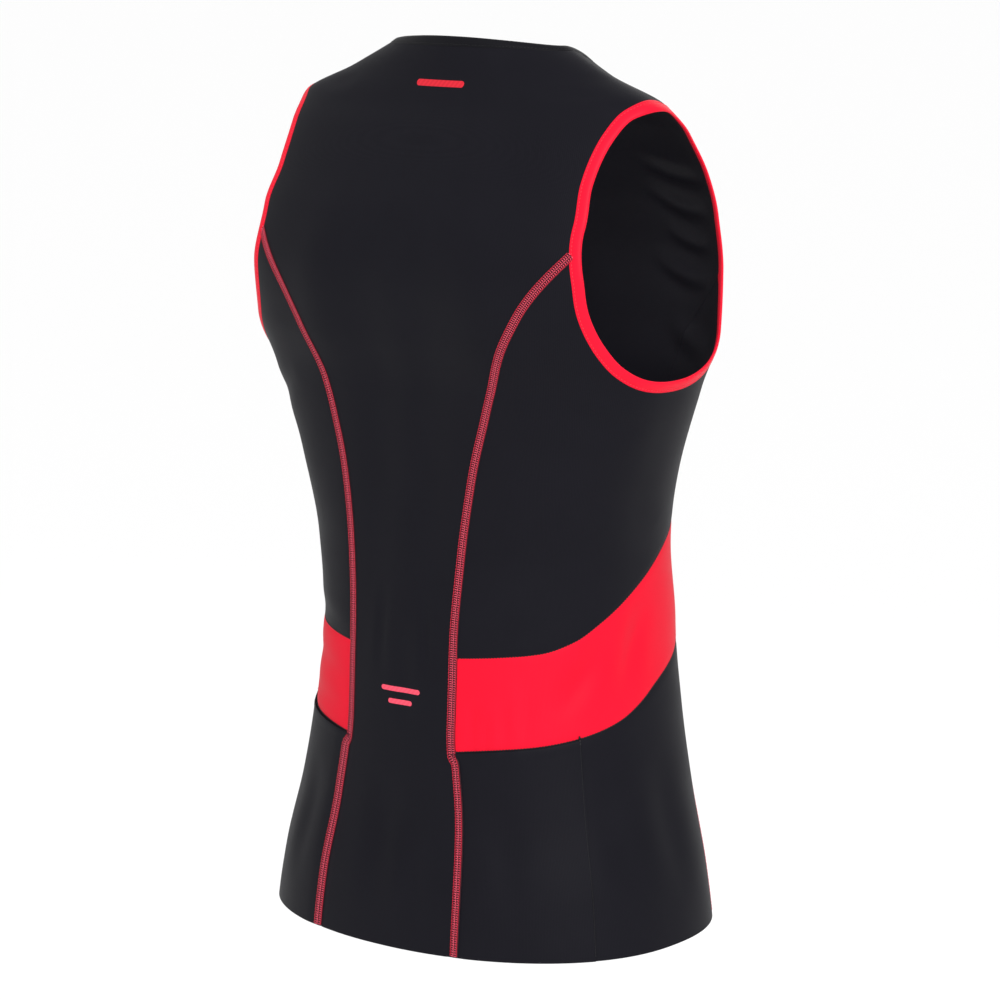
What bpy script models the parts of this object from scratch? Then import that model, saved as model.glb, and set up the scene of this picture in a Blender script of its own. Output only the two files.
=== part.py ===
"""A sleeveless triathlon top in stretch knit, hollow and filled out as if it were worn.

Metres, +Z up. The origin lies midway between the two high shoulder points, where the
wearer's shoulders carry the top. The front faces -Y, the back +Y, and the wearer's right
side is -X. Every panel is a thin wall whose middle surface lies on one smooth form, which
horizontal sections describe. A place on the form is an angle, seen from above, from the
centre back round towards the wearer's right, and a height.
"""

import math

import bpy
import numpy as np
from mathutils.geometry import delaunay_2d_cdt

# ---------------------------------------------------------------- driving sizes

PANEL_WALL = 0.0012
POCKET_WALL = 0.0010
BINDING_WALL = 0.0020  # the knit folded round the raw edge
GAP = 0.0003  # between neighbouring pieces
SEAM_INSET = 0.0002  # how far each panel draws back from a seam, with room for its facets
ARM_BINDING = 0.0085  # width of the armhole bindings
NECK_BINDING = 0.0075

HEM_BACK = -0.641
HEM_FRONT = -0.632
NECK_BACK = 0.006  # the back neck stands a little above the high shoulder points
NECK_HALF_WIDTH = 0.076
NECK_DROP = 0.078  # depth of the front neck
SHOULDER_SEAM_DROP = 0.004  # where the shoulder seam meets the neck edge
BACK_SEAM_TOP = -0.138  # where the back princess seam meets the armhole
FRONT_SEAM_TOP = -0.165
POCKET_ANGLE = math.radians(68)  # the pocket's free side edge
POCKET_MOUTH = 0.0012  # the pocket's mouth lies this far under the band
SEAM_FOOT = -0.66  # the princess seams are read from below the hem
SEAM_EASE = 0.02  # over which a princess seam turns to its top on the armhole

# Horizontal sections of the form, lowest first. "mid" is the y of the widest point, and a
# roundness of 2 is an ellipse.
#    height   half   mid    back   front   back_round front_round
SECTIONS = np.array((
    (-0.680, 0.175, 0.004, 0.128, -0.132, 2.1, 2.3),
    (-0.640, 0.172, 0.004, 0.125, -0.130, 2.2, 2.3),
    (-0.600, 0.166, 0.003, 0.120, -0.127, 2.2, 2.3),
    (-0.540, 0.151, 0.002, 0.109, -0.124, 2.2, 2.3),
    (-0.480, 0.139, 0.001, 0.105, -0.122, 2.2, 2.3),
    (-0.420, 0.132, 0.001, 0.103, -0.121, 2.2, 2.3),
    (-0.360, 0.136, 0.005, 0.099, -0.111, 2.3, 2.2),
    (-0.300, 0.151, 0.008, 0.096, -0.102, 2.5, 2.2),
    (-0.240, 0.175, 0.014, 0.097, -0.104, 2.5, 2.2),
    (-0.200, 0.191, 0.018, 0.106, -0.108, 2.5, 2.3),
    (-0.160, 0.195, 0.021, 0.112, -0.110, 2.5, 2.4),
    (-0.120, 0.190, 0.024, 0.106, -0.104, 2.3, 2.5),
    (-0.090, 0.182, 0.023, 0.092, -0.092, 2.2, 2.6),
    (-0.060, 0.172, 0.018, 0.076, -0.073, 2.2, 2.4),
    (-0.040, 0.163, 0.014, 0.064, -0.060, 2.0, 1.8),
    (-0.020, 0.118, 0.014, 0.057, -0.058, 1.8, 1.4),
    (0.000, 0.076, 0.012, 0.052, -0.050, 1.8, 1.4),
    (0.010, 0.055, 0.012, 0.049, -0.045, 1.8, 1.4),
))

# The armhole's open edge from the side, from the shoulder seam down the back.
#   y      height
ARMHOLE = (
    (-0.002, -0.0435),
    (0.016, -0.0415),
    (0.031, -0.0450),
    (0.041, -0.0520),
    (0.051, -0.0635),
    (0.062, -0.0810),
    (0.072, -0.1020),
    (0.080, -0.1220),
    (0.0845, -0.1400),
    (0.0855, -0.1560),
    (0.0835, -0.1730),
    (0.078, -0.1895),
    (0.070, -0.2045),
    (0.060, -0.2155),
    (0.046, -0.2235),
    (0.029, -0.2270),
    (0.007, -0.2270),
    (-0.014, -0.2235),
    (-0.036, -0.2155),
    (-0.054, -0.2020),
    (-0.066, -0.1800),
    (-0.071, -0.1560),
    (-0.067, -0.1270),
    (-0.058, -0.0960),
    (-0.041, -0.0690),
    (-0.020, -0.0515),
)

# The princess seams below their tops: height, distance from the centre line.
BACK_SEAM = (
    (-0.660, 0.0640),
    (-0.600, 0.0615),
    (-0.540, 0.0550),
    (-0.480, 0.0480),
    (-0.420, 0.0480),
    (-0.360, 0.0520),
    (-0.300, 0.0610),
    (-0.260, 0.0720),
    (-0.220, 0.0865),
    (-0.180, 0.1100),
)
FRONT_SEAM = (
    (-0.650, 0.1450),
    (-0.600, 0.1380),
    (-0.520, 0.1150),
    (-0.430, 0.0950),
    (-0.340, 0.0850),
    (-0.260, 0.0900),
    (-0.210, 0.1080),
)

# The waist band's edges: degrees round from the centre back, height.
BAND_TOP = (
    (20, -0.430),
    (44, -0.426),
    (57, -0.423),
    (68, -0.415),
    (77, -0.403),
    (86, -0.390),
    (94, -0.378),
    (110, -0.353),
    (125, -0.336),
    (150, -0.322),
)
BAND_BOTTOM = (
    (20, -0.498),
    (40, -0.493),
    (56, -0.489),
    (68, -0.484),
    (82, -0.475),
    (92, -0.465),
    (101, -0.454),
    (112, -0.444),
    (125, -0.435),
    (150, -0.427),
)

# How many mesh cells each stretch takes.
CELLS_NECK = 8  # from a centre line to the shoulder seam, along the neck
CELLS_SHOULDER = 4  # along the shoulder seam
CELLS_CENTRE = 34  # along a centre line
CELLS_HEM = 6  # from a centre line to a princess seam
CELLS_POCKET = 6  # from the back seam to the pocket's side edge
CELLS_FLANK = 9  # from there to the front seam
CELLS_LOWER = 9  # hem to band
CELLS_BAND = 4
CELLS_UPPER = 14  # band to armhole
CELLS_ARM = 9  # armhole, from a princess seam to the shoulder seam
CELL = 0.0185  # between the points inside a centre panel
STAGGER = 0.87  # columns of even triangles lie this much closer than the points in them
CLEAR_OF_EDGE = 0.57  # of a cell, between a panel's outline and the points inside it
FINE = 200  # points along a curve before it is divided into cells
SETTLING_STEPS = 5
TINY_STEP = 0.000001  # for slopes of the form
MIRROR_MERGE = 0.00005

# Linear colour, roughness.
BLACK_KNIT = ((0.016, 0.017, 0.020), 0.58)
BLACK_BINDING = ((0.014, 0.015, 0.018), 0.52)
RED_KNIT = ((0.90, 0.016, 0.045), 0.50)
RED_BINDING = ((0.88, 0.014, 0.040), 0.46)

# ---------------------------------------------------------------- the form


def smooth_read(table, at):
    """Every column after the first of a table, read at values of its first column.

    The curve through the rows is a monotone cubic, so it never overshoots a row.
    """
    table = np.asarray(table, float)
    knots, values = table[:, 0], table[:, 1:]
    width = np.diff(knots)[:, None]
    slope = np.diff(values, axis=0) / width
    bend = np.zeros_like(values)
    bend[0], bend[-1] = slope[0], slope[-1]
    before, after = slope[:-1], slope[1:]
    near, far = 2 * width[1:] + width[:-1], width[1:] + 2 * width[:-1]
    same_way = before * after > 0
    safe_before = np.where(same_way, before, 1)
    safe_after = np.where(same_way, after, 1)
    mean = (near + far) / (near / safe_before + far / safe_after)
    bend[1:-1] = np.where(same_way, mean, 0)
    at = np.clip(np.asarray(at, float), knots[0], knots[-1])
    row = np.clip(np.searchsorted(knots, at) - 1, 0, len(knots) - 2)
    gap = width[row]
    t = (at - knots[row])[..., None] / gap
    start = (2 * t**3 - 3 * t**2 + 1) * values[row] + (t**3 - 2 * t**2 + t) * gap * bend[row]
    end = (3 * t**2 - 2 * t**3) * values[row + 1] + (t**3 - t**2) * gap * bend[row + 1]
    return np.moveaxis(start + end, -1, 0)


def on_form(angle, height):
    """The point of the form at an angle and a height, on the wearer's right."""
    angle, height = np.broadcast_arrays(angle, height)
    half, mid, back, front, back_round, front_round = smooth_read(SECTIONS, height)
    behind = np.cos(angle) >= 0
    depth = np.where(behind, back - mid, mid - front)
    power = np.where(behind, back_round, front_round)
    across = (np.abs(np.sin(angle)) / half) ** power
    along = (np.abs(np.cos(angle)) / depth) ** power
    reach = (across + along) ** (-1 / power)
    return np.stack((-reach * np.sin(angle), mid + reach * np.cos(angle), height), -1)


def settle(points):
    """Points near the form, on the wearer's right, moved square onto it."""
    points = np.array(points, float)
    for _ in range(SETTLING_STEPS):
        steep = steepness(points)
        points -= (outside(points) / (steep * steep).sum(-1))[..., None] * steep
    return points


def steepness(points):
    """How fast the level distance outside the form grows along x, y and z."""
    return np.stack([
        (outside(points + step) - outside(points - step)) / (2 * TINY_STEP)
        for step in np.eye(3) * TINY_STEP
    ], -1)


def out_of_form(points):
    """The form's outward directions at points of it."""
    steep = steepness(points)
    return steep / np.linalg.norm(steep, axis=-1, keepdims=True)


def outside(points):
    """How far points lie outside the form, measured level."""
    x, y, height = np.moveaxis(points, -1, 0)
    mid = smooth_read(SECTIONS, height)[1]
    surface = on_form(np.arctan2(np.abs(x), y - mid), height)
    return np.hypot(x, y - mid) - np.hypot(surface[..., 0], surface[..., 1] - mid)


def angle_at_x(x, height, behind):
    """The angle of the form's point that lies x from the centre line."""
    half, mid, back, front, back_round, front_round = smooth_read(SECTIONS, height)
    depth, power = (back - mid, back_round) if behind else (front - mid, front_round)
    y = depth * (1 - np.clip(x / half, 0, 1) ** power) ** (1 / power)
    return np.arctan2(x, y)


def angle_at_y(y, height):
    """The angle of the form's point at y, between the back and the front."""
    half, mid, back, front, back_round, front_round = smooth_read(SECTIONS, height)
    behind = y >= mid
    depth = np.where(behind, back - mid, mid - front)
    power = np.where(behind, back_round, front_round)
    x = half * (1 - np.clip(np.abs(y - mid) / depth, 0, 1) ** power) ** (1 / power)
    return np.arctan2(x, y - mid)


# ---------------------------------------------------------------- curves on the form
# A curve is an array of rows (angle, height).


def curve(angle, height):
    return np.stack(np.broadcast_arrays(angle, height), -1).astype(float)


def place(points):
    return on_form(points[..., 0], points[..., 1])


def lengths(points):
    """Distance along a curve at each of its points."""
    steps = np.linalg.norm(np.diff(place(points), axis=0), axis=1)
    return np.concatenate(((0,), np.cumsum(steps)))


def divide(points, cells):
    """The curve as points an even distance apart."""
    run = lengths(points)
    where = np.linspace(0, run[-1], cells + 1)
    return np.stack([np.interp(where, run, points[:, k]) for k in (0, 1)], -1)


def join(*runs):
    """Runs that meet end to end, as one curve."""
    return np.concatenate([runs[0]] + [run[1:] for run in runs[1:]])


def closed_spline(table, per_span):
    """A closed smooth curve through the rows of a table."""
    knots = np.asarray(table, float)
    t = np.linspace(0, 1, per_span, endpoint=False)[:, None]
    before, start = np.roll(knots, 1, 0), knots
    end, after = np.roll(knots, -1, 0), np.roll(knots, -2, 0)
    spans = [
        0.5 * (2 * b + (c - a) * t + (2 * a - 5 * b + 4 * c - d) * t**2
               + (3 * b - 3 * c + d - a) * t**3)
        for a, b, c, d in zip(before, start, end, after)
    ]
    return np.concatenate(spans + [knots[:1]])


def sidestep(points, distance, closed=False):
    """A curve moved sideways on the form, to the right of its own direction seen from
    outside the form on the wearer's right."""
    step = TINY_STEP
    angle, height = points[:, 0], points[:, 1]
    round_way = (on_form(angle + step, height) - on_form(angle - step, height)) / (2 * step)
    up_way = (on_form(angle, height + step) - on_form(angle, height - step)) / (2 * step)
    ring = place(points)
    if closed:
        ring = np.concatenate((ring[-2:-1], ring, ring[1:2]))
        forward = ring[2:] - ring[:-2]
    else:
        forward = np.gradient(ring, axis=0)
    outward = np.cross(round_way, up_way)
    side = np.cross(forward, outward)
    side /= np.linalg.norm(side, axis=1, keepdims=True)
    rr = (round_way * round_way).sum(1)
    ru = (round_way * up_way).sum(1)
    uu = (up_way * up_way).sum(1)
    r, u = (side * round_way).sum(1), (side * up_way).sum(1)
    spread = rr * uu - ru * ru
    turn = (r * uu - u * ru) / spread
    rise = (u * rr - r * ru) / spread
    return points + distance * np.stack((turn, rise), -1)


def hem_height(angle):
    return HEM_BACK + (HEM_FRONT - HEM_BACK) * (1 - np.cos(angle)) / 2


def neck_edge():
    """The neck's open edge from the centre back to the centre front."""
    t = np.linspace(0, math.pi / 2, FINE)
    back_x = NECK_HALF_WIDTH * np.sin(t)
    back_z = NECK_BACK * np.cos(t) ** 2
    front_x = NECK_HALF_WIDTH * np.cos(t)
    front_z = -NECK_DROP * np.sin(t)
    back = curve(angle_at_x(back_x, back_z, True), back_z)
    front = curve(angle_at_x(front_x, front_z, False), front_z)
    return join(back, front)


def hold_ends(points, *angles):
    """The curve with its two ends put on given angles, such as a centre line's."""
    points = points.copy()
    points[0, 0], points[-1, 0] = angles
    return points


def armhole_edge():
    table = closed_spline(ARMHOLE, FINE // 10)
    return curve(angle_at_y(table[:, 0], table[:, 1]), table[:, 1])


def seam(table, top, behind):
    """A princess seam from the hem up to its top point on the armhole."""
    rows = [row for row in table if row[0] < top[1] - SEAM_EASE]
    rows.append((top[1], -place(top)[0]))
    height = np.linspace(SEAM_FOOT, top[1], FINE)
    line = curve(angle_at_x(smooth_read(rows, height)[0], height, behind), height)
    line = line[np.argmin(np.abs(line[:, 1] - hem_height(line[:, 0]))):]
    line[0, 1] = hem_height(line[0, 0])
    line[-1] = top
    return line


def cut_at(points, table):
    """The index where a curve that climbs crosses an edge of the band."""
    edge = smooth_read(table, np.degrees(points[:, 0]))[0]
    return int(np.argmin(np.abs(points[:, 1] - edge)))


def round_side(height_at, start, end):
    """A line round the side between two seams' points, divided at the pocket's edge.

    height_at gives the line's height at an angle.
    """
    runs = []
    for first, last, count in ((start[0], POCKET_ANGLE, CELLS_POCKET),
                               (POCKET_ANGLE, end[0], CELLS_FLANK)):
        angle = np.linspace(first, last, FINE)
        runs.append(divide(curve(angle, height_at(angle)), count))
    line = join(*runs)
    line[0], line[-1] = start, end
    return line


def band_height(table):
    """A function that gives the height of an edge of the band at an angle."""
    return lambda angle: smooth_read(table, np.degrees(angle))[0]


def patch(bottom, right, top, left):
    """A grid of points on the form, blended from its four sides (a Coons patch).

    bottom and top run from left to right, and left and right run upwards.
    """
    bottom, right, top, left = (place(side) for side in (bottom, right, top, left))
    s = np.linspace(0, 1, len(bottom))[None, :, None]
    t = np.linspace(0, 1, len(left))[:, None, None]
    bend_below = bottom - (1 - s) * bottom[0] - s * bottom[-1]
    bend_above = top - (1 - s) * top[0] - s * top[-1]
    grid = (1 - s) * left[:, None] + s * right[:, None]
    grid = grid + (1 - t) * bend_below + t * bend_above
    grid[1:-1, 1:-1] = settle(grid[1:-1, 1:-1])
    return grid


# ---------------------------------------------------------------- the pattern


def find(points, height, behind):
    """The index of a closed armhole curve's point at a height, on its back or its front."""
    other_side = (points[:, 0] < math.pi / 2) != behind
    return int(np.argmin(np.abs(points[:, 1] - height) + other_side))


def spread(run, first, last, cells):
    """Indices between two places of a curve, an even distance apart."""
    length = lengths(run)
    wanted = np.linspace(length[first], length[last], cells + 1)
    picked = [int(np.argmin(np.abs(length - w))) for w in wanted]
    picked[0], picked[-1] = first, last
    return picked


def make_pattern():
    """The outline of every piece on the wearer's right, as curves on the form."""
    hole = armhole_edge()
    outer = sidestep(hole, ARM_BINDING, closed=True)
    sewn = sidestep(hole, ARM_BINDING + GAP, closed=True)
    at_back = find(sewn, BACK_SEAM_TOP, True)
    at_front = find(sewn, FRONT_SEAM_TOP, False)
    last = len(sewn) - 1
    arm_back = spread(sewn, 0, at_back, CELLS_ARM)
    arm_under = spread(sewn, at_back, at_front, CELLS_POCKET + CELLS_FLANK)
    arm_front = spread(sewn, at_front, last, CELLS_ARM)
    ring = arm_back + arm_under[1:] + arm_front[1:]
    middle = sidestep(hole, ARM_BINDING / 2, closed=True)

    neck = neck_edge()
    neck_outer = hold_ends(sidestep(neck, NECK_BINDING), 0, math.pi)
    neck_middle = hold_ends(sidestep(neck, NECK_BINDING / 2), 0, math.pi)
    neck_sewn = hold_ends(sidestep(neck, NECK_BINDING + GAP), 0, math.pi)
    at_shoulder = FINE + int(np.argmin(np.abs(neck[FINE:, 1] + SHOULDER_SEAM_DROP)))
    neck_back = spread(neck_sewn, 0, at_shoulder, CELLS_NECK)
    neck_front = spread(neck_sewn, at_shoulder, len(neck) - 1, CELLS_NECK)
    neck_ring = neck_back + neck_front[1:]

    back_seam = seam(BACK_SEAM, sewn[at_back], True)
    front_seam = seam(FRONT_SEAM, sewn[at_front], False)
    seams = {}
    for name, line in (("back", back_seam), ("front", front_seam)):
        low, high = cut_at(line, BAND_BOTTOM), cut_at(line, BAND_TOP)
        seams[name] = {
            "lower": divide(line[: low + 1], CELLS_LOWER),
            "band": divide(line[low: high + 1], CELLS_BAND),
            "upper": divide(line[high:], CELLS_UPPER),
        }
    tip = sewn[0]
    neck_point = neck_sewn[at_shoulder]
    steps = np.linspace(0, 1, FINE)[:, None]
    shoulder = divide(tip + (neck_point - tip) * steps, CELLS_SHOULDER)
    return {
        "seams": seams,
        "shoulder": shoulder,
        "arm_back": sewn[arm_back][::-1],
        "arm_under": sewn[arm_under],
        "arm_front": sewn[arm_front],
        "arm_ring": [line[ring] for line in (hole, middle, outer)],
        "neck_back": neck_sewn[neck_back][::-1],
        "neck_front": neck_sewn[neck_front],
        "neck_ring": [line[neck_ring] for line in (neck, neck_middle, neck_outer)],
    }


def centre_panel_runs(pattern, name, angle):
    """The outline of half a centre panel, as runs of points that meet end to end.

    It goes along the hem to the side, up the princess seam and the armhole, along the
    shoulder seam and the neck to the centre line, and down that.
    """
    parts = pattern["seams"][name]
    side = join(parts["lower"], parts["band"], parts["upper"], pattern[f"arm_{name}"])
    turn = np.linspace(angle, side[0, 0], FINE)
    hem = divide(curve(turn, hem_height(turn)), CELLS_HEM)
    neck = pattern[f"neck_{name}"]
    down = np.linspace(neck[-1, 1], hem[0, 1], FINE)
    centre = divide(curve(angle, down), CELLS_CENTRE)
    runs = {"hem": hem, "side": side, "shoulder": pattern["shoulder"], "neck": neck,
            "centre": centre}
    return {key: place(run) for key, run in runs.items()}


# ---------------------------------------------------------------- meshes


def inset(grid, distance, left=True, right=True, bottom=True, top=True):
    """The grid's chosen sides moved inwards, so that neighbours stand apart."""
    grid = grid.copy()
    across = np.gradient(grid, axis=1)
    up = np.gradient(grid, axis=0)
    normal = np.cross(across, up)
    moves = np.zeros_like(grid)
    for wanted, index, run in (
        (left, (slice(None), 0), up),
        (right, (slice(None), -1), -up),
        (bottom, (0, slice(None)), -across),
        (top, (-1, slice(None)), across),
    ):
        if wanted:
            way = np.cross(run[index], normal[index])
            moves[index] += distance * way / np.linalg.norm(way, axis=-1, keepdims=True)
    return grid + moves


def drawn_back(runs, sewn, turning):
    """Runs that meet end to end, as one ring whose sewn runs are moved inwards.

    turning is 1 where the ring goes anticlockwise, seen from outside, and else -1.
    """
    ring = np.concatenate([run[:-1] for run in runs.values()])
    moves = np.zeros_like(ring)
    first = 0
    for key, run in runs.items():
        if key in sewn:
            way = turning * np.cross(out_of_form(run), np.gradient(run, axis=0))
            way *= SEAM_INSET / np.linalg.norm(way, axis=-1, keepdims=True)
            moves[np.arange(first, first + len(run)) % len(ring)] += way
        first += len(run) - 1
    moves[np.abs(ring[:, 0]) < SEAM_INSET, 0] = 0
    return ring + moves


def finish(name, colour, roughness):
    material = bpy.data.materials.new(name)
    material.use_nodes = True
    shader = material.node_tree.nodes["Principled BSDF"]
    shader.inputs["Base Color"].default_value = (*colour, 1)
    shader.inputs["Roughness"].default_value = roughness
    shader.inputs["Metallic"].default_value = 0
    material.diffuse_color = (*colour, 1)
    return material


def wall(name, points, faces, thickness, look, collection, left_hand=False, mirrored=False):
    """A cloth wall from the points and faces of its middle surface, which face outwards.

    left_hand makes the wearer's left piece from the right one's points, and mirrored makes
    one piece of both halves.
    """
    points = points.reshape(-1, 3)
    if left_hand:
        points = points * (-1, 1, 1)
        faces = [face[::-1] for face in faces]
    data = bpy.data.meshes.new(name)
    data.from_pydata(points.tolist(), [], faces)
    data.shade_smooth()
    data.materials.append(look)
    piece = bpy.data.objects.new(name, data)
    collection.objects.link(piece)
    if mirrored:
        mirror = piece.modifiers.new("both halves", "MIRROR")
        mirror.merge_threshold = MIRROR_MERGE
    solidify = piece.modifiers.new("cloth", "SOLIDIFY")
    solidify.thickness = thickness
    solidify.offset = 0
    return piece


def cells(rows, columns, closed=False):
    """The faces of a grid whose points are numbered row by row.

    They face outwards where rows climb and columns go away from the centre back. A closed
    grid is a ring, whose last column is next to its first.
    """
    faces = []
    for i in range(rows - 1):
        for j in range(columns if closed else columns - 1):
            here, beside = i * columns + j, i * columns + (j + 1) % columns
            faces.append((here, beside, beside + columns, here + columns))
    return faces


def profile(x, behind):
    """The form's section at a distance from the centre line, from one hem over the
    shoulder to the other."""
    height = np.linspace(SECTIONS[0, 0], SECTIONS[-1, 0], 4 * FINE)
    height = height[smooth_read(SECTIONS, height)[0] > x]
    near = on_form(angle_at_x(x, height, behind), height)
    far = on_form(angle_at_x(x, height, not behind), height)
    return np.concatenate((near, far[::-1]))


def chart(points, behind):
    """Points as seen from behind or in front, at 45 degrees from above."""
    x, y, height = np.moveaxis(points, -1, 0)
    return np.stack((-x, height - y) if behind else (x, height + y), -1)


def is_inside(points, ring):
    """Which points of a plane lie inside a closed ring of points."""
    x, y = points[:, None, 0], points[:, None, 1]
    start, end = ring, np.roll(ring, -1, axis=0)
    crosses = (start[:, 1] > y) != (end[:, 1] > y)
    rise = np.where(start[:, 1] == end[:, 1], 1, end[:, 1] - start[:, 1])
    at = start[:, 0] + (y - start[:, 1]) * (end[:, 0] - start[:, 0]) / rise
    return (crosses & (x < at)).sum(1) % 2 == 1


def filled(ring, behind):
    """The points and faces of the stretch of the form inside a ring of points."""
    found = []
    for k, x in enumerate(np.arange(CELL * STAGGER, -ring[:, 0].min(), CELL * STAGGER)):
        path = profile(x, behind)
        path = path[: chart(path, behind)[:, 1].argmax() + 1]
        run = np.concatenate(((0,), np.cumsum(np.linalg.norm(np.diff(path, axis=0), axis=1))))
        where = np.arange(CELL / 2 * (k % 2), run[-1], CELL)
        found.append(np.stack([np.interp(where, run, path[:, axis]) for axis in range(3)], -1))
    found = settle(np.concatenate(found))
    found = found[is_inside(chart(found, behind), chart(ring, behind))]
    reach = np.linalg.norm(found[:, None] - ring, axis=-1).min(1)
    points = np.concatenate((ring, found[reach > CELL * CLEAR_OF_EDGE]))
    ring_edges = [(k, (k + 1) % len(ring)) for k in range(len(ring))]
    flat = chart(points, behind).tolist()
    _, _, faces, origin, _, _ = delaunay_2d_cdt(flat, ring_edges, [], 1, 1e-7)
    return points, [tuple(origin[k][0] for k in face) for face in faces]


def lifted(grid, distance):
    """A grid moved out from the body along its own normals."""
    normal = np.cross(np.gradient(grid, axis=1), np.gradient(grid, axis=0))
    return grid + distance * normal / np.linalg.norm(normal, axis=-1, keepdims=True)


# ---------------------------------------------------------------- pieces


def centre_panels(pattern, looks, collection):
    for name, behind in (("back", True), ("front", False)):
        runs = centre_panel_runs(pattern, name, 0 if behind else math.pi)
        ring = drawn_back(runs, ("side", "shoulder", "neck"), 1 if behind else -1)
        points, faces = filled(ring, behind)
        wall(f"{name}_panel", points, faces, PANEL_WALL, looks["black_knit"], collection,
             mirrored=True)


def side_panels(pattern, looks, collection):
    seams = pattern["seams"]
    back, front = seams["back"], seams["front"]
    hem = round_side(hem_height, back["lower"][0], front["lower"][0])
    low = round_side(band_height(BAND_BOTTOM), back["band"][0], front["band"][0])
    high = round_side(band_height(BAND_TOP), back["band"][-1], front["band"][-1])
    grids = {
        "side_lower": (hem, "lower", low, "black_knit"),
        "side_band": (low, "band", high, "red_knit"),
        "side_upper": (high, "upper", pattern["arm_under"], "black_knit"),
    }
    for name, (bottom, part, top, look) in grids.items():
        grid = patch(bottom, front[part], top, back[part])
        grid = inset(grid, SEAM_INSET, bottom=name != "side_lower", top=name != "side_upper")
        for hand in ("right", "left"):
            wall(f"{name}_{hand}", grid, cells(*grid.shape[:2]), PANEL_WALL, looks[look],
                 collection, left_hand=hand == "left")
        if name == "side_lower":
            pockets(grid, looks, collection)


def pockets(lower, looks, collection):
    """The pocket's outer layer, made from the lower side's own points, moved out."""
    grid = inset(lower[:, : CELLS_POCKET + 1], POCKET_MOUTH, left=False, right=False, bottom=False)
    grid = lifted(grid, PANEL_WALL / 2 + GAP + POCKET_WALL / 2)
    for hand in ("right", "left"):
        wall(f"pocket_{hand}", grid, cells(*grid.shape[:2]), POCKET_WALL, looks["black_knit"],
             collection, left_hand=hand == "left")


def bindings(pattern, looks, collection):
    arm = np.stack([place(line)[:-1] for line in pattern["arm_ring"]])
    for hand in ("right", "left"):
        wall(f"armhole_binding_{hand}", arm, cells(*arm.shape[:2], closed=True), BINDING_WALL,
             looks["red_binding"], collection, left_hand=hand == "left")
    neck = np.stack([place(line) for line in pattern["neck_ring"]])
    neck[:, (0, -1), 0] = 0
    wall("neck_binding", neck, cells(*neck.shape[:2]), BINDING_WALL, looks["black_binding"],
         collection, mirrored=True)


def main():
    for thing in list(bpy.data.objects):
        bpy.data.objects.remove(thing)
    collection = bpy.data.collections.new("triathlon_top")
    bpy.context.scene.collection.children.link(collection)
    looks = {
        "black_knit": finish("black_knit", *BLACK_KNIT),
        "black_binding": finish("black_binding", *BLACK_BINDING),
        "red_knit": finish("red_knit", *RED_KNIT),
        "red_binding": finish("red_binding", *RED_BINDING),
    }
    pattern = make_pattern()
    centre_panels(pattern, looks, collection)
    side_panels(pattern, looks, collection)
    bindings(pattern, looks, collection)


main()
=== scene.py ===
"""The looks of a sleeveless triathlon top in stretch knit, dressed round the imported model.

Metres, +Z up, in the frame of the CAD: the origin lies midway between the two high shoulder
points, the front faces -Y and the wearer's right side is -X. Every panel lies on one smooth
form, and a drape moves it out or in there: broad hollows, creases and the gullies of the
seams. A place on the form is an angle round from the centre back towards the wearer's right,
and a height.
"""

import logging
import math
from dataclasses import dataclass
from enum import Enum
from typing import Any

import bpy
import numpy as np
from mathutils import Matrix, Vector
from mathutils.geometry import delaunay_2d_cdt
from mathutils.kdtree import KDTree


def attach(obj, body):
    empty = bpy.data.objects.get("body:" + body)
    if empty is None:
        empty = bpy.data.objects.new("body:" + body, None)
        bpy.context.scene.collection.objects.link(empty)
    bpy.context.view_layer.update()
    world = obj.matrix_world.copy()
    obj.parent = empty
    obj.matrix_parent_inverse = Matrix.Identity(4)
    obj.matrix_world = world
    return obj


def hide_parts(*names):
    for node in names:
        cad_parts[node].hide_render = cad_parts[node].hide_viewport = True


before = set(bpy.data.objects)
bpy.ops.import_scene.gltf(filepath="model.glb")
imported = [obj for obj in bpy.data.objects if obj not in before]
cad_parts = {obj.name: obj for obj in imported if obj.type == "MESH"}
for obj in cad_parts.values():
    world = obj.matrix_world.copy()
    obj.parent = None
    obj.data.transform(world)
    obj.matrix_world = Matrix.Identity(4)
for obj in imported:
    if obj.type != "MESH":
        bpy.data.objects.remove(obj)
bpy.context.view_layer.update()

LOG = logging.getLogger("triathlon_top")
Array = np.ndarray
Faces = list[tuple[int, ...]]
Colour = tuple[float, float, float]
MILLIMETRE = 0.001
MIRROR = (-1, 1, 1)

# ---------------------------------------------------------------- the form

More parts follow.
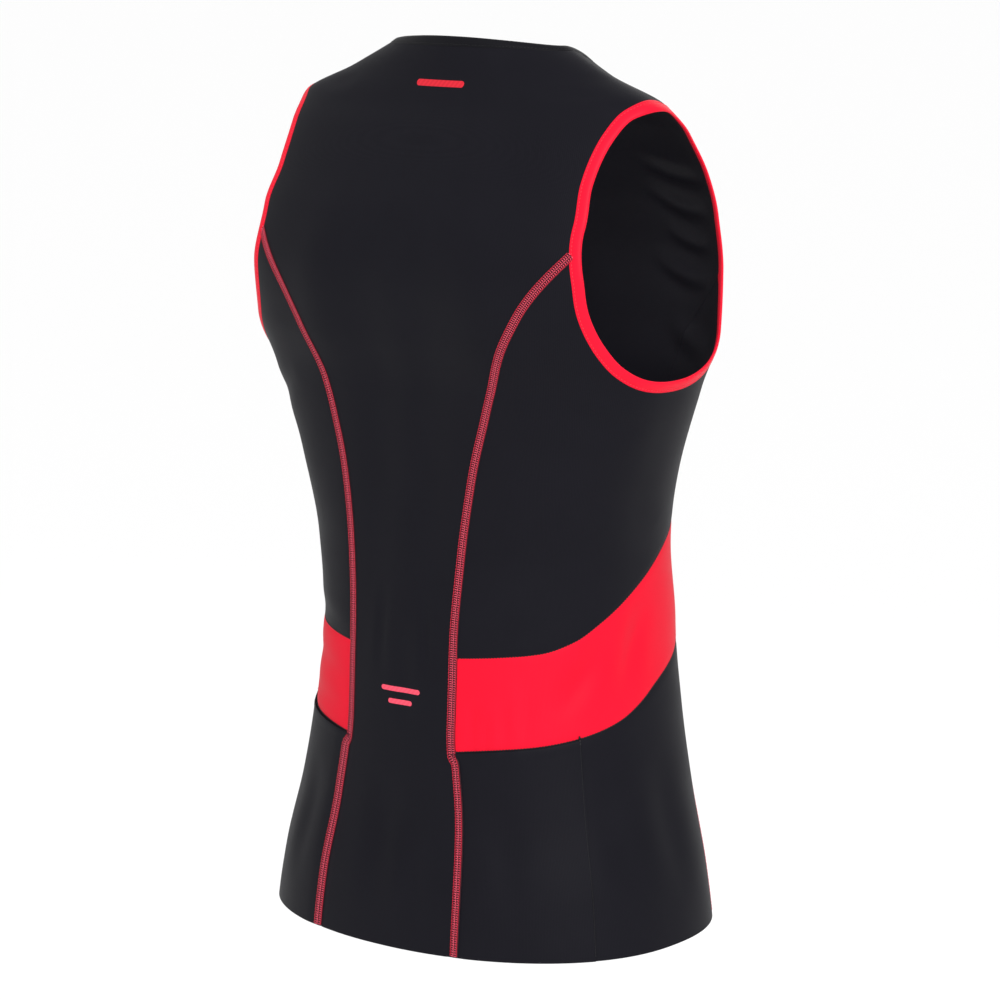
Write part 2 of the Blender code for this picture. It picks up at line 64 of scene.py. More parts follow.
# Horizontal sections of the form, lowest first. "mid" is the y of the widest point, and a
# roundness of 2 is an ellipse.
#    height   half   mid    back   front   back_round front_round
SECTIONS = np.array((
    (-0.680, 0.175, 0.004, 0.128, -0.132, 2.1, 2.3),
    (-0.640, 0.172, 0.004, 0.125, -0.130, 2.2, 2.3),
    (-0.600, 0.166, 0.003, 0.120, -0.127, 2.2, 2.3),
    (-0.540, 0.151, 0.002, 0.109, -0.124, 2.2, 2.3),
    (-0.480, 0.139, 0.001, 0.105, -0.122, 2.2, 2.3),
    (-0.420, 0.132, 0.001, 0.103, -0.121, 2.2, 2.3),
    (-0.360, 0.136, 0.005, 0.099, -0.111, 2.3, 2.2),
    (-0.300, 0.151, 0.008, 0.096, -0.102, 2.5, 2.2),
    (-0.240, 0.175, 0.014, 0.097, -0.104, 2.5, 2.2),
    (-0.200, 0.191, 0.018, 0.106, -0.108, 2.5, 2.3),
    (-0.160, 0.195, 0.021, 0.112, -0.110, 2.5, 2.4),
    (-0.120, 0.190, 0.024, 0.106, -0.104, 2.3, 2.5),
    (-0.090, 0.182, 0.023, 0.092, -0.092, 2.2, 2.6),
    (-0.060, 0.172, 0.018, 0.076, -0.073, 2.2, 2.4),
    (-0.040, 0.163, 0.014, 0.064, -0.060, 2.0, 1.8),
    (-0.020, 0.118, 0.014, 0.057, -0.058, 1.8, 1.4),
    (0.000, 0.076, 0.012, 0.052, -0.050, 1.8, 1.4),
    (0.010, 0.055, 0.012, 0.049, -0.045, 1.8, 1.4),
))

# The armhole's open edge from the side, from the shoulder seam down the back.
#   y      height
ARMHOLE = (
    (-0.002, -0.0435),
    (0.016, -0.0415),
    (0.031, -0.0450),
    (0.041, -0.0520),
    (0.051, -0.0635),
    (0.062, -0.0810),
    (0.072, -0.1020),
    (0.080, -0.1220),
    (0.0845, -0.1400),
    (0.0855, -0.1560),
    (0.0835, -0.1730),
    (0.078, -0.1895),
    (0.070, -0.2045),
    (0.060, -0.2155),
    (0.046, -0.2235),
    (0.029, -0.2270),
    (0.007, -0.2270),
    (-0.014, -0.2235),
    (-0.036, -0.2155),
    (-0.054, -0.2020),
    (-0.066, -0.1800),
    (-0.071, -0.1560),
    (-0.067, -0.1270),
    (-0.058, -0.0960),
    (-0.041, -0.0690),
    (-0.020, -0.0515),
)

# The princess seams below their tops: height, distance from the centre line.
BACK_SEAM = (
    (-0.660, 0.0640),
    (-0.600, 0.0615),
    (-0.540, 0.0550),
    (-0.480, 0.0480),
    (-0.420, 0.0480),
    (-0.360, 0.0520),
    (-0.300, 0.0610),
    (-0.260, 0.0720),
    (-0.220, 0.0865),
    (-0.180, 0.1100),
)
FRONT_SEAM = (
    (-0.650, 0.1450),
    (-0.600, 0.1380),
    (-0.520, 0.1150),
    (-0.430, 0.0950),
    (-0.340, 0.0850),
    (-0.260, 0.0900),
    (-0.210, 0.1080),
)

# The waist band's edges: degrees round from the centre back, height.
BAND_TOP = (
    (20, -0.430),
    (44, -0.426),
    (57, -0.423),
    (68, -0.415),
    (77, -0.403),
    (86, -0.390),
    (94, -0.378),
    (110, -0.353),
    (125, -0.336),
    (150, -0.322),
)
BAND_BOTTOM = (
    (20, -0.498),
    (40, -0.493),
    (56, -0.489),
    (68, -0.484),
    (82, -0.475),
    (92, -0.465),
    (101, -0.454),
    (112, -0.444),
    (125, -0.435),
    (150, -0.427),
)


class Hand(Enum):
    """The wearer's side that a piece is on. The value turns the right side's x into it."""

    RIGHT = 1
    LEFT = -1


class Centre(Enum):
    """The two panels that cross the centre line."""

    BACK = "back"
    FRONT = "front"


class Fold(Enum):
    """Whether a crease goes into the cloth or stands out of it."""

    TROUGH = -1
    RIDGE = 1


def smooth_read(table: Any, at: Any) -> Array:
    """Read a table's other columns at values of its first, by a monotone cubic.

    Args:
        table: Rows in the rising order of their first column.
        at: Where to read.

    Returns:
        One array for each column after the first.
    """
    table = np.asarray(table, float)
    knots, values = table[:, 0], table[:, 1:]
    width = np.diff(knots)[:, None]
    slope = np.diff(values, axis=0) / width
    bend = np.zeros_like(values)
    bend[0], bend[-1] = slope[0], slope[-1]
    before, after = slope[:-1], slope[1:]
    near, far = 2 * width[1:] + width[:-1], width[1:] + 2 * width[:-1]
    same_way = before * after > 0
    safe_before = np.where(same_way, before, 1)
    safe_after = np.where(same_way, after, 1)
    mean = (near + far) / (near / safe_before + far / safe_after)
    bend[1:-1] = np.where(same_way, mean, 0)
    at = np.clip(np.asarray(at, float), knots[0], knots[-1])
    row = np.clip(np.searchsorted(knots, at) - 1, 0, len(knots) - 2)
    gap = width[row]
    t = (at - knots[row])[..., None] / gap
    start = (2 * t**3 - 3 * t**2 + 1) * values[row] + (t**3 - 2 * t**2 + t) * gap * bend[row]
    end = (3 * t**2 - 2 * t**3) * values[row + 1] + (t**3 - t**2) * gap * bend[row + 1]
    return np.moveaxis(start + end, -1, 0)


def curve(angle: Any, height: Any) -> Array:
    """Return rows of angle and height."""
    return np.stack(np.broadcast_arrays(angle, height), -1).astype(float)


def join(*runs: Array) -> Array:
    """Return runs that meet end to end as one."""
    return np.concatenate([runs[0]] + [run[1:] for run in runs[1:]])


def unit(vectors: Array) -> Array:
    """Return vectors made one long."""
    return vectors / np.linalg.norm(vectors, axis=-1, keepdims=True)


def search_tree(points: Array) -> KDTree:
    """Put points into a tree that finds the nearest of them.

    Args:
        points: The points, one a row.

    Returns:
        The tree.
    """
    tree = KDTree(len(points))
    for k, point in enumerate(points):
        tree.insert(point, k)
    tree.balance()
    return tree


def nearness(tree: KDTree, points: Array) -> Array:
    """Return each point's distance from the nearest point of a tree."""
    return np.array([tree.find(point)[2] for point in points])


@dataclass(frozen=True)
class Form:
    """The smooth form on which every panel lies."""

    settling_steps: int = 5
    tiny: float = 1e-6

    def on(self, angle: Any, height: Any) -> Array:
        """Find points of the form.

        Args:
            angle: Radians round from the centre back towards the wearer's right.
            height: Height of each point.

        Returns:
            The points, along the last axis.
        """
        angle, height = np.broadcast_arrays(angle, height)
        half, mid, back, front, back_round, front_round = smooth_read(SECTIONS, height)
        behind = np.cos(angle) >= 0
        depth = np.where(behind, back - mid, mid - front)
        power = np.where(behind, back_round, front_round)
        across = (np.abs(np.sin(angle)) / half) ** power
        along = (np.abs(np.cos(angle)) / depth) ** power
        reach = (across + along) ** (-1 / power)
        return np.stack((-reach * np.sin(angle), mid + reach * np.cos(angle), height), -1)

    def place(self, line: Array) -> Array:
        """Return the points of a curve's rows of angle and height."""
        return self.on(line[..., 0], line[..., 1])

    def outside(self, points: Array) -> Array:
        """Measure, level, how far points lie outside the form.

        Args:
            points: Points near the form.

        Returns:
            A distance for each, below 0 inside.
        """
        x, y, height = np.moveaxis(points, -1, 0)
        mid = smooth_read(SECTIONS, height)[1]
        surface = self.on(np.arctan2(np.abs(x), y - mid), height)
        return np.hypot(x, y - mid) - np.hypot(surface[..., 0], surface[..., 1] - mid)

    def steepness(self, points: Array) -> Array:
        """Return how fast the distance outside grows along x, y and z."""
        return np.stack([
            (self.outside(points + step) - self.outside(points - step)) / (2 * self.tiny)
            for step in np.eye(3) * self.tiny
        ], -1)

    def outward(self, points: Array) -> Array:
        """Return the form's outward directions at points of it."""
        return unit(self.steepness(points))

    def settle(self, points: Array) -> Array:
        """Move points that lie near the form square onto it.

        Args:
            points: The points.

        Returns:
            The moved points.
        """
        points = np.array(points, float)
        for _ in range(self.settling_steps):
            steep = self.steepness(points)
            points -= (self.outside(points) / (steep * steep).sum(-1))[..., None] * steep
        return points

    def angle_at_x(self, x: Any, height: Any, behind: bool) -> Array:
        """Find the angle of the form's point at a distance from the centre line.

        Args:
            x: Distance from the centre line.
            height: Height of the point.
            behind: Whether the point is on the back half.

        Returns:
            The angles.
        """
        half, mid, back, front, back_round, front_round = smooth_read(SECTIONS, height)
        depth, power = (back - mid, back_round) if behind else (front - mid, front_round)
        y = depth * (1 - np.clip(x / half, 0, 1) ** power) ** (1 / power)
        return np.arctan2(x, y)

    def angle_at_y(self, y: Array, height: Array) -> Array:
        """Find the angles of the form's points at a place between the back and the front.

        Args:
            y: The y of each point.
            height: Height of each point.

        Returns:
            The angles.
        """
        half, mid, back, front, back_round, front_round = smooth_read(SECTIONS, height)
        behind = y >= mid
        depth = np.where(behind, back - mid, mid - front)
        power = np.where(behind, back_round, front_round)
        x = half * (1 - np.clip(np.abs(y - mid) / depth, 0, 1) ** power) ** (1 / power)
        return np.arctan2(x, y - mid)

    def lengths(self, line: Array) -> Array:
        """Return the distance along a curve at each of its rows."""
        steps = np.linalg.norm(np.diff(self.place(line), axis=0), axis=1)
        return np.concatenate(((0,), np.cumsum(steps)))

    def walk(self, line: Array, where: Array) -> Array:
        """Return a curve's angle and height at distances along it."""
        run = self.lengths(line)
        return np.stack([np.interp(where, run, line[:, k]) for k in (0, 1)], -1)

    def divide(self, line: Array, cells: int) -> Array:
        """Return a curve as rows an even distance apart."""
        return self.walk(line, np.linspace(0, self.lengths(line)[-1], cells + 1))

    def sidestep(self, line: Array, distance: Any, closed: bool = False) -> Array:
        """Move a curve sideways on the form, to the right of its own direction.

        Args:
            line: Rows of angle and height.
            distance: How far, as one number or one for each row.
            closed: Whether the last row repeats the first.

        Returns:
            The moved curve.
        """
        step = self.tiny
        angle, height = line[:, 0], line[:, 1]
        round_way = (self.on(angle + step, height) - self.on(angle - step, height)) / (2 * step)
        up_way = (self.on(angle, height + step) - self.on(angle, height - step)) / (2 * step)
        ring = self.place(line)
        if closed:
            ring = np.concatenate((ring[-2:-1], ring, ring[1:2]))
            forward = ring[2:] - ring[:-2]
        else:
            forward = np.gradient(ring, axis=0)
        side = unit(np.cross(forward, np.cross(round_way, up_way)))
        rr = (round_way * round_way).sum(1)
        ru = (round_way * up_way).sum(1)
        uu = (up_way * up_way).sum(1)
        r, u = (side * round_way).sum(1), (side * up_way).sum(1)
        extent = rr * uu - ru * ru
        turn = (r * uu - u * ru) / extent
        rise = (u * rr - r * ru) / extent
        return line + np.reshape(distance, (-1, 1)) * np.stack((turn, rise), -1)


FORM = Form()


# ---------------------------------------------------------------- the pattern


@dataclass
class Pattern:
    """The outlines of the cut pieces on the wearer's right, as curves on the form.

    The cells across the side panels are shared out between the pocket and the rest.
    """

    cell: float = 0.0042
    fine: int = 700
    arm_binding: float = 0.0085
    neck_binding: float = 0.0075
    hem_back: float = -0.641
    hem_front: float = -0.632
    neck_back: float = 0.006
    neck_half_width: float = 0.076
    neck_drop: float = 0.078
    shoulder_seam_drop: float = 0.004
    back_seam_top: float = -0.138
    front_seam_top: float = -0.165
    pocket_angle: float = math.radians(68)
    pocket_share: float = 0.42
    spare_cells: int = 6
    armhole_steps: int = 50
    seam_foot: float = -0.66
    seam_ease: float = 0.02

    def __post_init__(self) -> None:
        """Work the outlines out, once for all pieces."""
        self.hole = self.armhole_edge()
        self.sewn = FORM.sidestep(self.hole, self.arm_binding, closed=True)
        at_back = self.find(self.sewn, self.back_seam_top, True)
        at_front = self.find(self.sewn, self.front_seam_top, False)
        last = len(self.sewn) - 1
        self.arm = {
            Centre.BACK: self.piece(self.sewn, 0, at_back)[::-1],
            Centre.FRONT: self.piece(self.sewn, at_front, last),
        }
        neck = self.neck_edge()
        left = curve(2 * math.pi - neck[::-1, 0], neck[::-1, 1])
        self.neck = join(neck, left)
        sewn = FORM.sidestep(self.neck, self.neck_binding, closed=True)[: len(neck)]
        sewn[0, 0], sewn[-1, 0] = 0, math.pi
        at_shoulder = self.fine + int(
            np.argmin(np.abs(neck[self.fine:, 1] + self.shoulder_seam_drop)))
        self.neck_sewn = {
            Centre.BACK: self.piece(sewn, 0, at_shoulder)[::-1],
            Centre.FRONT: self.piece(sewn, at_shoulder, len(neck) - 1),
        }
        steps = np.linspace(0, 1, self.fine)[:, None]
        tip, neck_point = self.sewn[0], sewn[at_shoulder]
        shoulder = tip + (neck_point - tip) * steps
        self.shoulder = FORM.divide(shoulder, self.count(shoulder))
        self.make_seams(at_back, at_front)

    def make_seams(self, at_back: int, at_front: int) -> None:
        """Cut the princess seams at the band and divide them alike.

        Args:
            at_back: Index on the armhole of the back seam's top.
            at_front: Index on the armhole of the front seam's top.
        """
        lines = {
            Centre.BACK: self.seam(BACK_SEAM, self.sewn[at_back], True),
            Centre.FRONT: self.seam(FRONT_SEAM, self.sewn[at_front], False),
        }
        cuts = {
            name: (self.cut_at(line, BAND_BOTTOM), self.cut_at(line, BAND_TOP))
            for name, line in lines.items()
        }
        self.seams = {name: {} for name in lines}
        for part in ("lower", "band", "upper"):
            runs = {}
            for name, line in lines.items():
                low, high = cuts[name]
                ends = {"lower": (0, low), "band": (low, high), "upper": (high, len(line) - 1)}
                first, last = ends[part]
                runs[name] = line[first: last + 1]
            cells = max(self.count(run) for run in runs.values())
            for name, run in runs.items():
                self.seams[name][part] = FORM.divide(run, cells)
        under = self.sewn[at_back: at_front + 1]
        cells = self.count(under) + self.spare_cells
        over_pocket = int(cells * self.pocket_share)
        self.round_counts = (over_pocket, cells - over_pocket)
        self.arm_under = FORM.divide(under, cells)

    def count(self, line: Array) -> int:
        """Return how many cells a curve takes."""
        return max(2, round(FORM.lengths(line)[-1] / self.cell))

    def piece(self, line: Array, first: int, last: int) -> Array:
        """Return a stretch of a curve, divided into cells."""
        run = line[first: last + 1]
        return FORM.divide(run, self.count(run))

    def armhole_edge(self) -> Array:
        """Return the closed smooth curve of the armhole's open edge."""
        knots = np.asarray(ARMHOLE, float)
        t = np.linspace(0, 1, self.armhole_steps, endpoint=False)[:, None]
        rows = zip(np.roll(knots, 1, 0), knots, np.roll(knots, -1, 0), np.roll(knots, -2, 0))
        spans = [
            0.5 * (2 * b + (c - a) * t + (2 * a - 5 * b + 4 * c - d) * t**2
                   + (3 * b - 3 * c + d - a) * t**3)
            for a, b, c, d in rows
        ]
        table = np.concatenate(spans + [knots[:1]])
        return curve(FORM.angle_at_y(table[:, 0], table[:, 1]), table[:, 1])

    def neck_edge(self) -> Array:
        """Return the neck's open edge from the centre back to the centre front."""
        t = np.linspace(0, math.pi / 2, self.fine)
        back_x = self.neck_half_width * np.sin(t)
        back_z = self.neck_back * np.cos(t) ** 2
        front_x = self.neck_half_width * np.cos(t)
        front_z = -self.neck_drop * np.sin(t)
        back = curve(FORM.angle_at_x(back_x, back_z, True), back_z)
        front = curve(FORM.angle_at_x(front_x, front_z, False), front_z)
        return join(back, front)

    def hem_height(self, angle: Any) -> Array:
        """Return the hem's height at an angle."""
        return self.hem_back + (self.hem_front - self.hem_back) * (1 - np.cos(angle)) / 2

    def find(self, line: Array, height: float, behind: bool) -> int:
        """Return the index of the armhole curve's point at a height, behind or in front."""
        other_side = (line[:, 0] < math.pi / 2) != behind
        return int(np.argmin(np.abs(line[:, 1] - height) + other_side))

    def seam(self, table: Any, top: Array, behind: bool) -> Array:
        """Draw a princess seam from the hem up to its top point on the armhole.

        Args:
            table: Heights and distances from the centre line.
            top: The point on the armhole, as angle and height.
            behind: Whether it is a back seam.

        Returns:
            The seam's curve.
        """
        rows = [row for row in table if row[0] < top[1] - self.seam_ease]
        rows.append((top[1], -FORM.place(top)[0]))
        height = np.linspace(self.seam_foot, top[1], self.fine)
        line = curve(FORM.angle_at_x(smooth_read(rows, height)[0], height, behind), height)
        line = line[np.argmin(np.abs(line[:, 1] - self.hem_height(line[:, 0]))):]
        line[0, 1] = self.hem_height(line[0, 0])
        line[-1] = top
        return line

    def cut_at(self, line: Array, table: Any) -> int:
        """Return the index where a curve that climbs crosses an edge of the band."""
        edge = smooth_read(table, np.degrees(line[:, 0]))[0]
        return int(np.argmin(np.abs(line[:, 1] - edge)))

    def whole_seam(self, name: Centre) -> Array:
        """Return a princess seam from the hem to the armhole."""
        parts = self.seams[name]
        return join(parts["lower"], parts["band"], parts["upper"])

    def round_side(self, height_at: Any, start: Array, end: Array) -> Array:
        """Draw a line round the side between two seams, divided at the pocket's edge.

        Args:
            height_at: Gives the line's height at an angle.
            start: Where it leaves the back seam.
            end: Where it meets the front seam.

        Returns:
            The line.
        """
        runs = []
        ends = ((start[0], self.pocket_angle), (self.pocket_angle, end[0]))
        for (first, last), cells in zip(ends, self.round_counts):
            angle = np.linspace(first, last, self.fine)
            runs.append(FORM.divide(curve(angle, height_at(angle)), cells))
        line = join(*runs)
        line[0], line[-1] = start, end
        return line

    def levels(self) -> dict[str, Array]:
        """Return the hem and the band's two edges, from the back seam to the front seam."""
        back, front = self.seams[Centre.BACK], self.seams[Centre.FRONT]

        def edge(table: Any) -> Any:
            """Return a function that gives the height of a band's edge at an angle."""
            return lambda angle: smooth_read(table, np.degrees(angle))[0]

        return {
            "hem": self.round_side(self.hem_height, back["lower"][0], front["lower"][0]),
            "low": self.round_side(edge(BAND_BOTTOM), back["band"][0], front["band"][0]),
            "high": self.round_side(edge(BAND_TOP), back["band"][-1], front["band"][-1]),
        }


PATTERN = Pattern()


# ---------------------------------------------------------------- the drape


METRES_A_DEGREE = 0.0024  # round the form, about
SAMPLES_A_WIDTH = 8
FEWEST_SAMPLES = 9
LIP_REACH = 3.4  # in widths of a fold
LIPS = ((1.9, 1.0), (-2.1, 0.6))  # where a fold's lips lie, in its widths, and their strength


def bell(distance: Array) -> Array:
    """Return a smooth bump that is 1 at no distance and dies away past 1."""
    return np.exp(-(distance**2))


@dataclass(frozen=True)
class Crease:
    """One soft fold between two places, given in degrees round and height.

    bow lifts the middle of the fold above the straight way between its ends, and lip is
    how far the cloth beside it moves the other way, for its depth.
    """

    start: tuple[float, float]
    end: tuple[float, float]
    width: float
    depth: float
    fold: Fold = Fold.TROUGH
    bow: float = 0.0
    lip: float = 0.4

    def lift(self, points: Array) -> Array:
        """Work out how far the fold moves points of the form.

        Args:
            points: Points on the form.

        Returns:
            A distance outwards for each.
        """
        turn, rise = self.end[0] - self.start[0], self.end[1] - self.start[1]
        span = abs(turn) * METRES_A_DEGREE + abs(rise)
        t = np.linspace(0, 1, int(SAMPLES_A_WIDTH * span / self.width) + FEWEST_SAMPLES)
        height = self.start[1] + rise * t + self.bow * 4 * t * (1 - t)
        line = FORM.on(np.radians(self.start[0] + turn * t), height)
        forward = unit(np.gradient(line, axis=0))
        side = unit(np.cross(forward, FORM.outward(line)))
        away = points[:, None] - line
        nearest = (away * away).sum(-1).argmin(1)
        away = away[np.arange(len(points)), nearest]
        along = (away * forward[nearest]).sum(-1)
        across = (away * side[nearest]).sum(-1)
        reach = np.sqrt(np.maximum((away * away).sum(-1) - along**2, 0))
        length = np.linalg.norm(np.diff(line, axis=0), axis=1).sum()
        taper = np.sin(math.pi * np.clip(t[nearest] + along / length, 0, 1))
        lips = sum(strength * bell(across / self.width - place) for place, strength in LIPS)
        lips = self.lip * lips * bell(reach / (LIP_REACH * self.width))
        return self.fold.value * self.depth * taper * (bell(reach / self.width) - lips)


# Broad hollows and swells, then the creases, in the places that the worn cloth shows.
CREASES = (
    # the long hollows beside the spine, and the shoulder blades
    Crease((15, -0.13), (15, -0.47), 0.020, 0.0022, lip=0.2),
    Crease((-13, -0.14), (-14, -0.45), 0.020, 0.0020, lip=0.2),
    Crease((38, -0.10), (46, -0.26), 0.026, 0.0030, Fold.RIDGE, lip=0.2),
    Crease((-36, -0.10), (-45, -0.25), 0.026, 0.0028, Fold.RIDGE, lip=0.2),
    # the back, near the waist
    Crease((13, -0.385), (14, -0.445), 0.0035, 0.0011),
    Crease((2, -0.40), (5, -0.49), 0.0070, 0.0008),
    Crease((-9, -0.38), (-10, -0.45), 0.0045, 0.0009),
    Crease((-3, -0.52), (-5, -0.62), 0.012, 0.0014),
    Crease((12, -0.54), (14, -0.63), 0.010, 0.0012),
    # the band on the wearer's right
    Crease((79, -0.414), (61, -0.470), 0.0095, 0.0030, lip=0.15),
    Crease((96, -0.392), (84, -0.462), 0.0100, 0.0024, lip=0.1),
    Crease((33.5, -0.455), (34.5, -0.503), 0.0040, 0.0013),
    Crease((38.5, -0.466), (39.0, -0.500), 0.0036, 0.0010),
    Crease((45.0, -0.452), (45.5, -0.500), 0.0046, 0.0014),
    Crease((53, -0.440), (51, -0.497), 0.0060, 0.0014),
    # the band on the wearer's left
    Crease((-28, -0.428), (-74, -0.414), 0.0080, 0.0011, bow=0.004),
    Crease((-30, -0.458), (-76, -0.446), 0.0070, 0.0008, bow=0.003),
    Crease((-33, -0.480), (-64, -0.473), 0.0060, 0.0006),
    Crease((-66, -0.418), (-84, -0.455), 0.0070, 0.0009),
    # the flanks under the armholes
    Crease((58, -0.235), (84, -0.262), 0.0100, 0.0012, bow=-0.006),
    Crease((72, -0.30), (100, -0.335), 0.0120, 0.0012),
    Crease((-60, -0.24), (-86, -0.266), 0.0100, 0.0013, bow=-0.006),
    Crease((-70, -0.31), (-98, -0.338), 0.0120, 0.0013),
    Crease((62, -0.345), (52, -0.395), 0.0100, 0.0009),
    # below the band
    Crease((74, -0.510), (80, -0.600), 0.0120, 0.0015),
    Crease((96, -0.500), (98, -0.610), 0.0140, 0.0016),
    Crease((-72, -0.515), (-80, -0.605), 0.0130, 0.0016),
    Crease((-98, -0.490), (-100, -0.61), 0.0140, 0.0016),
    Crease((45, -0.530), (47, -0.620), 0.0110, 0.0011),
    Crease((-44, -0.520), (-47, -0.615), 0.0110, 0.0012),
    # the front, beside the armholes, across the chest and at the waist
    Crease((122, -0.094), (150, -0.084), 0.0050, 0.0026, bow=-0.005),
    Crease((126, -0.118), (152, -0.104), 0.0055, 0.0030, bow=-0.007),
    Crease((127, -0.143), (148, -0.132), 0.0045, 0.0022, bow=-0.006),
    Crease((126, -0.168), (154, -0.152), 0.0060, 0.0028, bow=-0.008),
    Crease((121, -0.215), (144, -0.200), 0.0080, 0.0020, bow=-0.006),
    Crease((-123, -0.100), (-149, -0.086), 0.0055, 0.0026, bow=-0.005),
    Crease((-126, -0.128), (-152, -0.112), 0.0060, 0.0028, bow=-0.007),
    Crease((-125, -0.160), (-148, -0.146), 0.0055, 0.0024, bow=-0.006),
    Crease((-120, -0.208), (-141, -0.198), 0.0080, 0.0020, bow=-0.006),
    Crease((179, -0.12), (180, -0.33), 0.0200, 0.0018, lip=0.2),
    Crease((150, -0.335), (196, -0.345), 0.0110, 0.0012, bow=-0.006),
    Crease((160, -0.400), (206, -0.392), 0.0100, 0.0011, bow=0.005),
    Crease((146, -0.440), (176, -0.455), 0.0090, 0.0010, bow=-0.004),
    Crease((168, -0.520), (166, -0.615), 0.0130, 0.0015),
    Crease((196, -0.530), (199, -0.620), 0.0130, 0.0015),
    Crease((140, -0.540), (137, -0.620), 0.0120, 0.0014),
    # the tops of the shoulders
    Crease((70, -0.030), (82, -0.034), 0.0060, 0.0008),
    Crease((-68, -0.030), (-82, -0.035), 0.0060, 0.0008),
)


@dataclass
class Drape:
    """How far the cloth stands out from the form: its creases and the gullies of its seams."""

    gully_width: float = 0.0022
    gully_depth: float = 0.0006
    sample: float = 0.0008

    def __post_init__(self) -> None:
        """Put points along every seam, on both hands, into one search tree."""
        levels = PATTERN.levels()
        right = [PATTERN.whole_seam(Centre.BACK), PATTERN.whole_seam(Centre.FRONT)]
        right += [levels["low"], levels["high"], PATTERN.shoulder]
        samples = []
        for line in right:
            cells = int(FORM.lengths(line)[-1] / self.sample)
            samples.append(FORM.place(FORM.divide(line, cells)))
        points = np.concatenate(samples)
        self.tree = search_tree(np.concatenate((points, points * MIRROR)))

    def relief(self, points: Array) -> Array:
        """Work out how far the drape moves points of the form outwards.

        Args:
            points: Points on the form, one a row.

        Returns:
            A distance for each.
        """
        moved = -self.gully_depth * bell(nearness(self.tree, points) / self.gully_width)
        for crease in CREASES:
            moved += crease.lift(points)
        return moved

    def skin(self, points: Array, lift: Any = 0.0) -> Array:
        """Move points of the form onto the draped cloth.

        Args:
            points: Points on the form, of any grid shape.
            lift: How far outside the cloth's middle surface, for all or each.

        Returns:
            The moved points.
        """
        flat = points.reshape(-1, 3)
        lift = np.broadcast_to(lift, points.shape[:-1]).reshape(-1)
        out = FORM.outward(flat)
        return (flat + out * (self.relief(flat) + lift)[:, None]).reshape(points.shape)


DRAPE = Drape()


# ---------------------------------------------------------------- shader maths


class Shader:
    """A material's node tree, with one method that makes any node."""

    def __init__(self, name: str) -> None:
        """Start an empty material.

        Args:
            name: Its name.
        """
        self.material = bpy.data.materials.new(name)
        self.material.use_nodes = True
        self.tree = self.material.node_tree
        self.tree.nodes.clear()

    def node(self, kind: str, settings: dict[str, Any], inputs: dict[Any, Any]) -> Any:
        """Make a node, set it, then feed its sockets.

        Args:
            kind: The node's type.
            settings: Attributes of the node.
            inputs: Values, signals or sockets by the input's name or number.

        Returns:
            The node.
        """
        made = self.tree.nodes.new(kind)
        for key, value in settings.items():
            setattr(made, key, value)
        for key, value in inputs.items():
            if isinstance(value, Signal):
                value = value.socket
            if isinstance(value, bpy.types.NodeSocket):
                self.tree.links.new(value, made.inputs[key])
            else:
                made.inputs[key].default_value = value
        return made

    def mix(self, share: "Signal", first: Colour, second: Colour) -> Any:
        """Blend two colours.

        Args:
            share: Signal that is 0 for the first colour and 1 for the second.
            first: The first colour.
            second: The second colour.

        Returns:
            The blend's socket.
        """
        settings = {"data_type": "RGBA", "clamp_factor": True}
        inputs = {0: share, 6: (*first, 1), 7: (*second, 1)}
        return self.node("ShaderNodeMix", settings, inputs).outputs[2]

    def noise(self, at: Any, scale: float, detail: float = 2.0) -> "Signal":
        """Return smooth noise at coordinates."""
        inputs = {"Vector": at, "Scale": scale, "Detail": detail, "Roughness": 0.5}
        return Signal(self, self.node("ShaderNodeTexNoise", {}, inputs).outputs[0])


class Signal:
    """A shader value that Python's operators turn into further Math nodes."""

    def __init__(self, shader: Shader, socket: Any) -> None:
        """Wrap a socket of a shader."""
        self.shader = shader
        self.socket = socket

    def maths(self, operation: str, *values: Any) -> "Signal":
        """Run a Math node on this tree.

        Args:
            operation: What it does.
            values: Its inputs, as signals or numbers.

        Returns:
            Its result.
        """
        inputs = dict(enumerate(values))
        made = self.shader.node("ShaderNodeMath", {"operation": operation}, inputs)
        return Signal(self.shader, made.outputs[0])

    def __add__(self, other: Any) -> "Signal":
        """Return the sum."""
        return self.maths("ADD", self, other)

    __radd__ = __add__

    def __sub__(self, other: Any) -> "Signal":
        """Return the difference."""
        return self.maths("SUBTRACT", self, other)

    def __rsub__(self, other: Any) -> "Signal":
        """Return the difference the other way."""
        return self.maths("SUBTRACT", other, self)

    def __mul__(self, other: Any) -> "Signal":
        """Return the product."""
        return self.maths("MULTIPLY", self, other)

    __rmul__ = __mul__

    def __abs__(self) -> "Signal":
        """Return the size without the sign."""
        return self.maths("ABSOLUTE", self)

    def sine(self) -> "Signal":
        """Return the sine."""
        return self.maths("SINE", self)


